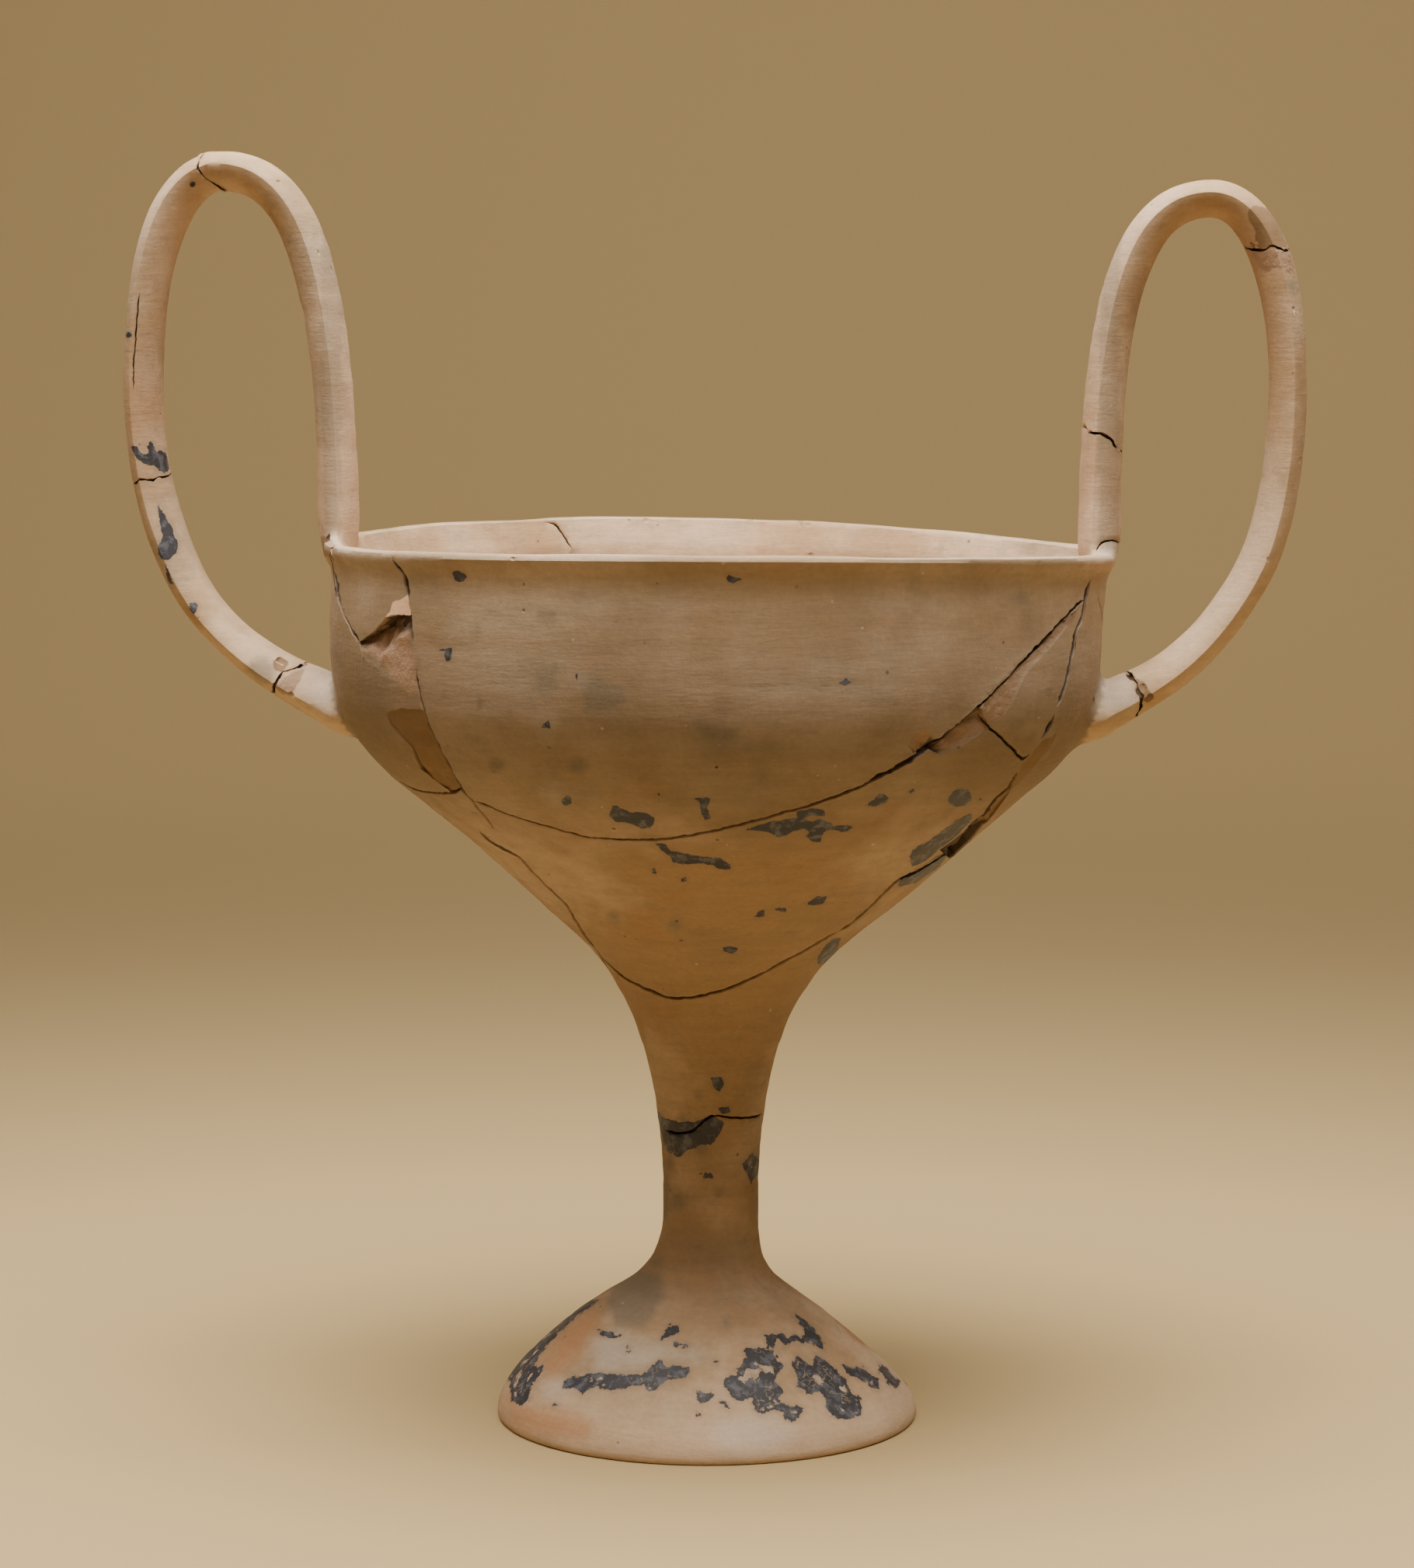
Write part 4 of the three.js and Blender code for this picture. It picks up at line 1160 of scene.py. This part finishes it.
    def refine(self, mesh):
        """Splits the facets under the edges of the coating and other sharp marks, to keep these crisp."""
        place, facing = KitMesh.points(mesh), KitMesh.normals(mesh)
        at, shown, _ = self.seen(place, facing)
        gap = np.min([np.abs(polygon_distance(at, run)) for name in ("coat", "dark_filler")
                      for run in MARKS[name]], axis=0) / PX_PER_MM
        work = bmesh.new()
        work.from_mesh(mesh)
        work.verts.ensure_lookup_table()
        near = shown & (gap < self.EDGE_BAND)
        edges = {edge for face in work.faces if any(near[v.index] for v in face.verts) for edge in face.edges}
        bmesh.ops.subdivide_edges(work, edges=list(edges), cuts=1, use_grid_fill=True)
        work.to_mesh(mesh)
        work.free()

    def throw_marks(self, mesh):
        """Works the potter's hand into the clay: rings of the wheel, dents, and sunk or proud sherds."""
        place, facing = KitMesh.points(mesh), KitMesh.normals(mesh)
        mm = place / MM
        height = mm[:, 2]
        reach = np.hypot(mm[:, 0], mm[:, 1])
        on_strap = smooth((reach - self.form.radius_at(height) - 1) / 3)
        rings = np.zeros(len(mm))
        for wave, size, phase in self.RINGS:
            drift = 0.8 * np.sin(np.arctan2(mm[:, 1], mm[:, 0]) * 2 + phase)
            rings += size * np.sin(math.tau * height / wave + phase + drift)
        shift = rings * (1 - on_strap) + 0.10 * field(mm, 34, 3) + 0.035 * field(mm, 11, 5)
        at, shown, _ = self.seen(place, facing)
        panel = [s[:2] for s in BREAKS["panel_left"][:10] + BREAKS["belly"][1:]]
        panel += [(1404, 745), (1392, 722), (960, 724), (524, 720), (524, 760)]
        well_in = smooth(-polygon_distance(at, panel) / PX_PER_MM / 0.8)
        shift -= np.where(shown, self.SUNK_SHERD * well_in, 0)
        shift += on_strap * self.proud_end(at, height)
        shift *= smooth((height - 0.5) / 4)
        KitMesh.move(mesh, place + facing * (shift * MM)[:, None])

    def proud_end(self, at, height):
        """The crown of the left handle stands a little proud of its outer half at the break."""
        (x0, y0), (x1, y1) = HANDLE_BREAKS[0][2][1], HANDLE_BREAKS[0][2][5]
        run = math.hypot(x1 - x0, y1 - y0)
        past = ((at[:, 0] - x0) * (y1 - y0) - (at[:, 1] - y0) * (x1 - x0)) / run / PX_PER_MM
        on_crown = (height > self.form.rim + 45) & (at[:, 0] < FRAME_PX[0] / 2)
        return np.where(on_crown & (past > 0), self.PROUD_STEP * smooth(1 - past / 11), 0)

    def break_stations(self, skin, places, widths, as_seen):
        """A break laid on the skin, with closely spaced stations.

        With as_seen, the widths are those that the camera sees, and become wider where the skin turns away.
        """
        run = np.concatenate([[0], np.cumsum(np.linalg.norm(np.diff(places, axis=0), axis=1))])
        count = max(int(run[-1] / (self.BREAK_STEP * MM)), 6)
        even = np.linspace(0, run[-1], count + 1)
        centre = np.column_stack([np.interp(even, run, places[:, k]) for k in range(3)])
        half = np.interp(even, run, widths) / 2 * MM
        centre[1:-1] = (centre[:-2] + centre[1:-1] + centre[2:]) / 3
        over = np.empty_like(centre)
        for i, spot in enumerate(centre):
            nearest, normal, _, _ = skin.find_nearest(Vector(spot))
            centre[i], over[i] = nearest, normal
        for _ in range(3):
            over[1:-1] = (over[:-2] + over[1:-1] + over[2:]) / 3
        over /= np.linalg.norm(over, axis=1)[:, None]
        aside = np.cross(over, np.gradient(centre, axis=0))
        aside /= np.linalg.norm(aside, axis=1)[:, None]
        if as_seen:
            ray = centre - np.array(camera_place())
            sideways = np.cross(ray, np.gradient(centre, axis=0))
            sideways /= np.linalg.norm(sideways, axis=1)[:, None]
            half /= np.clip(np.abs((aside * sideways).sum(axis=1)), 0.3, 1)
        closing = np.clip(np.minimum(np.arange(count + 1), np.arange(count, -1, -1)) / 3, 0, 1)
        deep = np.minimum(self.form.slit_depth + 350 * half, self.DEEPEST_JOIN) * MM
        return KitMesh.line("break", centre, {"half": half, "deep": deep, "closing": closing},
                            {"over": over, "aside": aside}), centre

    def blades(self, skin):
        """The open joins in the wall and along the handles."""
        section = KitMesh.line("section", [(i, 0, 0) for i in range(6)], None, {
            "spread": [(1, 0, 1), (0, 1, 0), (0, 0.35, 0), (0, -0.35, 0), (0, -1, 0), (-1, 0, 1)],
            "sink": [(0, 0, 0), (1, 0, 0), (0, 1, 0), (0, 1, 1), (1, 0, 1), (0, 0, 1)]})
        holder = bpy.data.objects.new("section", section)
        bpy.context.scene.collection.objects.link(holder)
        tree = blade_tree()
        made, lines = [], []
        laid = [(np.array([cast(skin, x, y)[0] for x, y, _ in run]), [w for _, _, w in run], True)
                for run in BREAKS.values()]
        for run in FAR_BREAKS.values():
            dense = spread_grid([[s] for s in run], len(run) * 6, 1)[:, 0]
            places = np.array([self.form.skin_point(a, z) for a, z, _ in dense]) * MM
            laid.append((places, dense[:, 2], False))
        for number, (places, widths, as_seen) in enumerate(laid):
            stations, centre = self.break_stations(skin, places, widths, as_seen)
            lines.append(centre)
            made.append(KitMesh.grown(tree, stations, {
                "Section": holder, "Reach": self.OVERHANG * MM,
                "Mouth width": self.form.lip_wear * 1.7 * MM, "Mouth depth": self.MOUTH_DEPTH * MM,
                "Raggedness": self.RAGGEDNESS * MM, "Seed": number * 3.7, "Material": self.material}))
        bpy.data.objects.remove(holder)
        return made, lines

    def handle_joins(self, cores):
        """Grooves round the handles where they were broken right through."""
        made, lines = [], []
        for number, (side, open_half, run) in enumerate(HANDLE_BREAKS):
            origin = camera_place()
            flat = []
            for px, py in run:
                ray = sight(px, py)
                spot = origin + ray * ((self.HANDLE_PLANE * MM - origin.y) / ray.y)
                flat.append((spot.x, spot.z))
            flat = np.array(flat)
            reach = np.concatenate([[0], np.cumsum(np.linalg.norm(np.diff(flat, axis=0), axis=1))])
            even = np.linspace(0, reach[-1], max(int(reach[-1] / (self.JOIN_STEP * MM)), 4) + 1)
            path = np.column_stack([np.interp(even, reach, flat[:, k]) for k in range(2)])
            along = np.gradient(path, axis=0)
            across = np.column_stack([-along[:, 1], along[:, 0]])
            across /= np.linalg.norm(across, axis=1)[:, None]
            depth = np.arange(-self.JOIN_HALF_DEPTH, self.JOIN_HALF_DEPTH + 0.1, 1.0)
            grid = np.zeros((len(path), len(depth), 3))
            grid[..., 0], grid[..., 2] = path[:, None, 0], path[:, None, 1]
            grid[..., 1] = depth * MM
            spots = grid.reshape(-1, 3) / MM
            wander = 0.22 * field(spots, 5, 40 + number) + 0.12 * field(spots, 1.8, 60 + number)
            half = open_half * (1 + 0.45 * field(spots, 3, 80 + number)).clip(0.4, 2.2)
            offset = np.zeros_like(grid)
            offset[..., 0], offset[..., 2] = across[:, None, 0], across[:, None, 1]
            shape = grid.shape[:2] + (1,)
            mid = grid + offset * wander.reshape(shape) * MM
            thick = offset * half.reshape(shape) * MM
            slab = closed_sheet("slab", mid + thick, mid - thick)
            made.append(KitMesh.combined(slab, [("DIFFERENCE", cores[side].copy())]))
            lines.append(mid.reshape(-1, 3))
        return made, lines

    def pocket(self, skin, name):
        """A hollow under a grid of places, with a lumpy floor."""
        columns = POCKETS[name]
        rows, steps = 4 * len(columns) + 1, 4 * len(columns[0]) + 1
        full = spread_grid(columns, rows, steps)
        across = np.linalg.norm(np.diff(full[..., :2], axis=1), axis=2).min()
        full[..., :2] += self.rng.normal(0, min(0.7, across * 0.15), (rows, steps, 2))
        laid = [cast(skin, px, py) for px, py in full[..., :2].reshape(-1, 2)]
        place, facing = (np.array(part) for part in zip(*laid))
        depth = full[..., 2].ravel()
        lumps = 0.34 * field(place / MM, 4.6, 31) + 0.14 * field(place / MM, 1.9, 33)
        depth = depth + lumps * np.clip(depth, 0, 1)
        top = place + facing * self.POCKET_LID * MM
        bottom = place - facing * (depth * MM)[:, None]
        return closed_sheet(name, top.reshape(rows, steps, 3), bottom.reshape(rows, steps, 3))

    def window(self, skin):
        """The hole under the tongue, cut along the line of sight, so that the lit inside shows through it."""
        corners = np.array(HOLE + HOLE[:1], float)
        run = np.concatenate([[0], np.cumsum(np.linalg.norm(np.diff(corners, axis=0), axis=1))])
        shafts = []
        before, behind = self.WINDOW_REACH
        for t in np.linspace(0, run[-1], self.WINDOW_POINTS)[:-1]:
            px = np.interp(t, run, corners[:, 0]) + self.rng.normal(0, 0.4)
            py = np.interp(t, run, corners[:, 1]) + self.rng.normal(0, 0.4)
            ray = np.array(sight(px, py))
            place = cast(skin, px, py)[0]
            shafts.append((place - ray * before * MM, place + ray * behind * MM))
        shafts = np.array(shafts)
        count = len(shafts)
        places = np.concatenate([shafts[:, 0], shafts[:, 1], shafts.mean(axis=0)])
        faces = []
        for i in range(count):
            j = (i + 1) % count
            faces += [(i, j, count + j, count + i), (i, 2 * count, j), (count + i, count + j, 2 * count + 1)]
        mesh = bpy.data.meshes.new("window")
        mesh.from_pydata([tuple(p) for p in places], [], faces)
        KitMesh.face_out(mesh)
        return mesh

    def losses(self, skin):
        """The hollows left by lost clay, the hole and the small chips."""
        made = [self.pocket(skin, name) for name in POCKETS] + [self.window(skin)]
        groups = [bmesh.new() for _ in range(3)]
        for number, (px, py, size) in enumerate(CHIPS):
            place, facing = cast(skin, px, py)
            work = groups[number % 3]
            ball = bmesh.ops.create_icosphere(work, subdivisions=2, radius=size * MM)["verts"]
            spots = np.array([v.co for v in ball]) / MM
            swell = 1 + 0.13 * field(spots + number * 9, size * 1.2, 21)
            for vertex, scale in zip(ball, swell):
                out = np.array(vertex.co) * scale
                out -= facing * (out @ facing) * 0.45
                vertex.co = Vector(place + facing * 0.15 * size * MM + out)
        for work in groups:
            mesh = bpy.data.meshes.new("chips")
            work.to_mesh(mesh)
            work.free()
            KitMesh.face_out(mesh)
            made.append(mesh)
        return made

    def describe(self, mesh, skin, lines):
        """Writes what the finish needs to know on to the points of the mesh, in millimetres."""
        place, facing = KitMesh.points(mesh), KitMesh.normals(mesh)
        mm = place / MM
        at, shown, outside = self.seen(place, facing)
        hidden = np.where(shown, 0, self.OUT_OF_SIGHT)
        known = {}
        for name, runs in MARKS.items():
            gap = np.min([polygon_distance(at, run) for run in runs], axis=0) / PX_PER_MM
            for px, py, size in SPOTS.get(name, []):
                gap = np.minimum(gap, np.linalg.norm(at - (px, py), axis=1) / PX_PER_MM - size)
            known[name] = np.clip(gap + hidden, -self.FARTHEST, self.FARTHEST)
        rng = np.random.default_rng(self.SEED + 4)
        for name, count, low, high in self.FAR_SPOTS:
            for _ in range(count):
                angle, height = rng.uniform(8, 182), rng.choice([rng.uniform(2, 30), rng.uniform(60, 176)])
                size = rng.uniform(low, high)
                spot = np.array(self.form.skin_point(angle, height))
                gap = np.linalg.norm((mm - spot) * (1, 1, rng.uniform(0.8, 1.7)), axis=1) - size
                gap = gap + field(mm, 1.2 + size, int(size * 1000)) * 0.35 * size
                known[name] = np.where(outside, np.minimum(known[name], gap), known[name])
        # The outside of the wall, without the handles: where the finish paints shade.
        reach = np.hypot(mm[:, 0] - self.form.sway_at(mm[:, 2]), mm[:, 1])
        on_wall = outside & (reach < self.form.radius_at(mm[:, 2]) + self.WALL_SLACK)
        known["wall"] = on_wall.astype(float)
        tree = kdtree.KDTree(sum(len(line) for line in lines))
        for number, spot in enumerate(np.concatenate(lines)):
            tree.insert(spot, number)
        tree.balance()
        far = self.FARTHEST
        known["near"] = np.array([min(tree.find(Vector(p))[2] / MM, far) for p in place])
        known["sunk"] = np.array([min(skin.find_nearest(Vector(p))[3] / MM, far) for p in place])
        for name, values in known.items():
            mesh.attributes.new(name, "FLOAT", "POINT").data.foreach_set("value", values)

    def make(self):
        """The whole cup, with its losses cut and its marks written on its points."""
        tree = strap_tree()
        body = self.turned()
        self.refine(body)
        straps = {h["side"]: self.strap(tree, h, 0) for h in HANDLES}
        cores = {h["side"]: self.strap(tree, h, self.CORE_INSET) for h in HANDLES}
        wall, skins = KitMesh.tree_of(body), [KitMesh.tree_of(m) for m in straps.values()]
        cup = KitMesh.combined(body, [("UNION", mesh) for mesh in straps.values()])
        self.soften_joints(cup, wall, skins)
        self.throw_marks(cup)
        skin = KitMesh.tree_of(cup)
        blades, lines = self.blades(skin)
        grooves, edges = self.handle_joins(cores)
        pits = KitMesh.grown(pit_tree(), cup.copy(), {
            "Density": 420.0, "Spacing": 7 * MM, "Pit size": 0.42 * MM, "Seed": 5,
            "Material": self.material})
        tools = self.losses(skin) + blades + grooves + [pits]
        cup = KitMesh.combined(cup, [("DIFFERENCE", mesh) for mesh in tools])
        low, high = (np.array(corner) for corner in cad_box)
        KitMesh.move(cup, np.clip(KitMesh.points(cup), low, high))
        self.describe(cup, skin, lines + edges)
        return cup


def clay_finish(colours):
    """Matt fired clay with its wear, fillings, dirt and the remains of a dark coating, and painted shade on
    the outside of the cup and in the deepest hollows.
    """
    material = bpy.data.materials.new("fired_clay")
    material.use_nodes = True
    material.node_tree.nodes.clear()
    b = Board(material.node_tree)
    place = b.node("ShaderNodeTexCoord", out="Object")

    def rgb(name):
        return (*getattr(colours, name), 1)

    def known(name):
        return b.node("ShaderNodeAttribute", {"attribute_name": name}, out="Fac")

    def noise(size, detail=3.0, offset=0.0, flat=1.0):
        """Cloudy values about 0.5, with clouds of a size in mm, drawn out sideways where flat is over 1."""
        where = b.node("ShaderNodeMapping", None, {
            "Vector": place, "Location": (offset, offset * 0.7, offset * 1.3), "Scale": (1, 1, flat)})
        return b.node("ShaderNodeTexNoise", None, {"Vector": where, "Scale": 1000 / size, "Detail": detail,
                                                   "Roughness": 0.6})

    def patch(name, ragged, low, high):
        """1 inside the outlines of a kind of mark, with a torn edge, and 0 outside."""
        return b.step(known(name) + ragged, high, low)

    ragged = (noise(1.5, 4.0) - 0.5) * 1.5 + (noise(0.5, 2.0, 0.3) - 0.5) * 0.5
    broad = (noise(9, 4.0, 0.9) - 0.5) * 8 + (noise(2.5, 3.0, 1.9) - 0.5) * 3
    low = b.parts(place)[2] / MM
    tone = b.mix(b.step(noise(38, 4.0, 0.2), 0.42, 0.62), rgb("clay"), rgb("pale_clay"))
    tone = b.mix(b.step(noise(17, 4.0, 0.5), 0.5, 0.72) * 0.35, tone, rgb("orange_clay"))
    tone = b.mix(b.step(noise(24, 5.0, 1.7), 0.50, 0.72) * 0.4, tone, rgb("grey_clay"))
    tone = b.mix(b.step(noise(6, 4.0, 2.7, 2.5), 0.52, 0.70) * 0.28, tone, rgb("grey_clay"))
    tone = b.mix(b.step(low + broad, 16, 6) * 0.6, tone, rgb("pale_clay"))
    # Painted shade: the outside of the bowl from the shoulder up is made greyer and darker than the inside at
    # the same height.
    tone = b.mix(b.step(low + broad, 116, 140) * known("wall") * 0.42, tone, rgb("grey_clay"))
    cloudy = broad * 0.5 + ragged * 0.7
    tone = b.mix(b.step(known("orange") + cloudy, 2.6, -2.2) * 0.8, tone, rgb("orange_clay"))
    tone = b.mix(b.step(known("stain") + cloudy * 0.7, 1.2, -1.0) * 0.8, tone, rgb("grey_clay"))
    tone = b.mix(b.step(known("crust") + cloudy, 2.6, -2.6) * 0.5, tone, rgb("crust"))
    # Lightness of the clay: sideways streaks and fine mottling, then painted shade that darkens the outside
    # from the stem up to the wall, and the belly more.
    light = 0.84 + 0.32 * noise(12, 5.0, 2.1, 8.0) + (noise(1.1, 3.0, 3.1) - 0.5) * 0.3
    stem_to_wall_shade = b.step(low + broad, 18, 42) * b.step(low + broad, 178, 136)
    belly = b.step(low + broad, 116, 134) * b.step(low + broad, 172, 150)
    light = light * (1 - stem_to_wall_shade * known("wall") * 0.27)
    light = light * (1 - belly * known("wall") * 0.17)
    tone = b.mix(1.0, tone, b.vector(light, light, light), "MULTIPLY")
    grit = {"Vector": place, "Scale": 430.0}
    grains = b.node("ShaderNodeTexVoronoi", None, grit)
    chance = b.node("ShaderNodeTexVoronoi", None, grit, "Color")
    red, green, blue = b.parts(chance)
    fleck = b.step(grains - blue * 0.11, 0.10, 0.03)
    tone = b.mix(fleck * b.step(red, 0.93, 0.95) * 0.6, tone, rgb("dirt"))
    tone = b.mix(fleck * b.step(green, 0.94, 0.96) * 0.4, tone, rgb("crust"))
    fracture = patch("fracture", ragged * 0.5, -0.3, 0.3)
    tone = b.mix(fracture * 0.75, tone, rgb("fracture"))
    filler = patch("filler", ragged * 1.2 + broad * 0.2, -1.3, 0.5)
    tone = b.mix(filler * 0.75, tone, rgb("filler"))
    dark_filler = patch("dark_filler", ragged * 0.5, -0.25, 0.15)
    tone = b.mix(dark_filler * (0.62 + noise(3.2, 4.0, 2.9) * 0.5), tone, rgb("dark_filler"))
    worn = b.step(known("near") + ragged * 0.4, 1.2, 0.3)
    tone = b.mix(worn * b.step(noise(6, 3.0, 4.4), 0.4, 0.6) * 0.35, tone, rgb("fracture"))
    on_foot = b.step(low, 62, 48)
    coated = patch("coat", ragged * (0.6 + on_foot * 0.8) - 0.08, -0.06, 0.06)
    well_in = b.step(known("coat") + ragged, -0.3, -0.9) * on_foot
    bare = b.step(noise(3.0, 5.0, 5.2), 0.56, 0.59) * well_in
    curl = b.maths("ABSOLUTE", noise(3.2, 2.0, 8.2) - 0.5)
    lace = b.step(curl, 0.020, 0.008) * b.step(noise(9, 2.0, 6.4), 0.46, 0.56) * well_in
    coat = coated * (1 - bare) * (1 - lace * 0.45)
    tone = b.mix(patch("coat", ragged * 1.5, -0.2, 1.3) * 0.25, tone, rgb("coat_edge"))
    tone = b.mix(well_in * b.step(noise(1.8, 3.0, 9.1), 0.35, 0.6) * 0.55, tone, rgb("crust"))
    dark = b.mix(b.step(noise(2.2, 5.0, 6.0), 0.48, 0.64), rgb("coat"), rgb("coat_grey"))
    tone = b.mix(coat * 0.95, tone, dark)
    sunk = known("sunk")
    unfilled = (1 - filler) * (1 - dark_filler) * (1 - fracture)
    tone = b.mix(b.step(sunk, 0.16, 0.6) * unfilled * 0.9, tone, rgb("dirt"))
    # Painted shade: the deepest hollows, under the tongue and on the sides of the hole, are darkened to the
    # dirt colour, also where they are filled or broken.
    tone = b.mix(b.step(sunk, 1.5, 2.4) * 0.9, tone, rgb("dirt"))
    rough = 0.80 - coat * 0.26 + filler * 0.08 + (noise(2.5, 3.0, 7.0) - 0.5) * 0.2
    height = (noise(0.55, 3.0) - 0.5) * 0.045 + (noise(2.4, 4.0, 0.6) - 0.5) * 0.09
    height = height + (noise(4.5, 4.0, 1.2, 6.0) - 0.5) * 0.09 + coat * 0.10
    height = height + (filler + fracture) * (noise(1.8, 4.0, 3.7) - 0.5) * 0.5
    relief = b.node("ShaderNodeBump", None, {"Height": height, "Distance": MM, "Strength": 1.0})
    shader = b.node("ShaderNodeBsdfPrincipled", None, {
        "Base Color": tone, "Roughness": rough, "Normal": relief, "Specular IOR Level": 0.35})
    sink = b.tree.nodes.new("ShaderNodeOutputMaterial")
    b.tree.links.new(shader.socket, sink.inputs["Surface"])
    return material


class CUP_OT_build(bpy.types.Operator):
    """Build the cup with its breaks, fillings and worn coating"""

    bl_idname = "cup.build"
    bl_label = "Cup"

    def execute(self, context):
        material = clay_finish(context.scene.cup_finish)
        mesh = CupMaker(context.scene.cup_sizes, material).make()
        mesh.materials.clear()
        mesh.materials.append(material)
        mesh.polygons.foreach_set("material_index", [0] * len(mesh.polygons))
        mesh.polygons.foreach_set("use_smooth", [True] * len(mesh.polygons))
        mesh.set_sharp_from_angle(angle=math.radians(CupMaker.SHARP_DEGREES))
        piece = bpy.data.objects.new("mended_cup", mesh)
        context.scene.collection.objects.link(piece)
        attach(piece, "root")
        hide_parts("kylix")
        return {"FINISHED"}


class CUP_OT_stage(bpy.types.Operator):
    """Set a plain pale floor, soft light and the camera"""

    bl_idname = "cup.stage"
    bl_label = "Stage"

    # The lights: name, place and target in metres, size, watts as a share of a strength of the stage, colour,
    # and spread in degrees.
    LIGHTS = (
        ("overhead", (0.0, -0.10, 0.66), (0, -0.02, 0.1), (0.66, 0.5), ("overhead_watts", 1),
         (1, 0.94, 0.84), 100),
        ("front", (0.25, -1.3, 0.75), (0, 0, 0.12), (0.9, 0.7), ("front_watts", 1), (1, 0.9, 0.75), 180),
        ("back", (0.0, 1.0, 1.7), (0, 1.75, 0.3), (2.6, 1.2), ("back_watts", 1), (1, 0.92, 0.78), 150),
        ("far_floor", (0.0, -1.2, 1.7), (0, -1.95, 0.3), (2.6, 1.2), ("back_watts", 0.7),
         (1, 0.92, 0.78), 150),
    )
    SENSOR_HEIGHT = 36
    NEAREST_SEEN = 0.05
    FLOOR_HALF_WIDTH = 3.2
    FLOOR_FRONT = -2.5
    SWEEP_START = 1.3
    SWEEP_RADIUS = 0.9
    WALL_TOP = 3.0

    def execute(self, context):
        stage = context.scene.cup_stage
        self.lay_floor(context, stage)
        for name, place, target, size, (strength, share), colour, spread in self.LIGHTS:
            watts = getattr(stage, strength) * share
            self.hang_light(context, name, place, target, size, watts, colour, spread)
        world = bpy.data.worlds.new("room")
        world.use_nodes = True
        background = world.node_tree.nodes["Background"]
        background.inputs["Color"].default_value = (*stage.ambient, 1)
        background.inputs["Strength"].default_value = stage.ambient_strength
        context.scene.world = world
        lens = bpy.data.cameras.new("view")
        lens.sensor_fit = "VERTICAL"
        lens.sensor_height = self.SENSOR_HEIGHT
        lens.lens = FOCAL_PX * lens.sensor_height / FRAME_PX[1]
        lens.clip_start = self.NEAREST_SEEN
        camera = bpy.data.objects.new("view", lens)
        camera.location = camera_place()
        camera.rotation_euler = camera_turn()
        context.scene.collection.objects.link(camera)
        context.scene.camera = camera
        return {"FINISHED"}

    def lay_floor(self, context, stage):
        """A floor that curves up far behind the cup."""
        start, radius, side = self.SWEEP_START, self.SWEEP_RADIUS, self.FLOOR_HALF_WIDTH
        turn = np.linspace(0, math.pi / 2, 17)
        sweep = np.column_stack([start + radius * np.sin(turn), radius - radius * np.cos(turn)])
        profile = np.concatenate([[(self.FLOOR_FRONT, 0)], sweep, [(start + radius, self.WALL_TOP)]])
        places = [(x, y, z) for y, z in profile for x in (-side, side)]
        faces = [(2 * i, 2 * i + 1, 2 * i + 3, 2 * i + 2) for i in range(len(profile) - 1)]
        mesh = bpy.data.meshes.new("floor")
        mesh.from_pydata(places, [], faces)
        mesh.polygons.foreach_set("use_smooth", [True] * len(mesh.polygons))
        paint = bpy.data.materials.new("floor")
        paint.use_nodes = True
        shader = paint.node_tree.nodes["Principled BSDF"]
        shader.inputs["Base Color"].default_value = (*stage.floor, 1)
        shader.inputs["Roughness"].default_value = 0.9
        mesh.materials.append(paint)
        floor = bpy.data.objects.new("floor", mesh)
        context.scene.collection.objects.link(floor)

    @staticmethod
    def hang_light(context, name, place, target, size, watts, colour, spread):
        lamp = bpy.data.lights.new(name, "AREA")
        lamp.shape = "RECTANGLE"
        lamp.size, lamp.size_y = size
        lamp.energy = watts
        lamp.color = colour
        lamp.spread = math.radians(spread)
        holder = bpy.data.objects.new(name, lamp)
        holder.location = place
        holder.rotation_euler = (Vector(target) - Vector(place)).to_track_quat("-Z", "Y").to_euler()
        context.scene.collection.objects.link(holder)


class CUP_PT_panel(bpy.types.Panel):
    """Lists the steps, sizes and colours of the cup"""

    bl_label = "Mended cup"
    bl_space_type = "VIEW_3D"
    bl_region_type = "UI"
    bl_category = "Cup"

    def draw(self, context):
        for operator in (CUP_OT_build, CUP_OT_stage):
            self.layout.operator(operator.bl_idname)
        for group in (context.scene.cup_sizes, context.scene.cup_finish, context.scene.cup_stage):
            box = self.layout.box()
            for name in type(group).__annotations__:
                box.prop(group, name)


CLASSES = (CupSizes, CupFinish, CupStage, CUP_OT_build, CUP_OT_stage, CUP_PT_panel)


def register():
    for cls in CLASSES:
        bpy.utils.register_class(cls)
    bpy.types.Scene.cup_sizes = PointerProperty(type=CupSizes)
    bpy.types.Scene.cup_finish = PointerProperty(type=CupFinish)
    bpy.types.Scene.cup_stage = PointerProperty(type=CupStage)


def unregister():
    for name in ("cup_sizes", "cup_finish", "cup_stage"):
        delattr(bpy.types.Scene, name)
    for cls in reversed(CLASSES):
        bpy.utils.unregister_class(cls)


def main():
    register()
    bpy.ops.cup.stage()
    bpy.ops.cup.build()


if __name__ == "__main__":
    main()
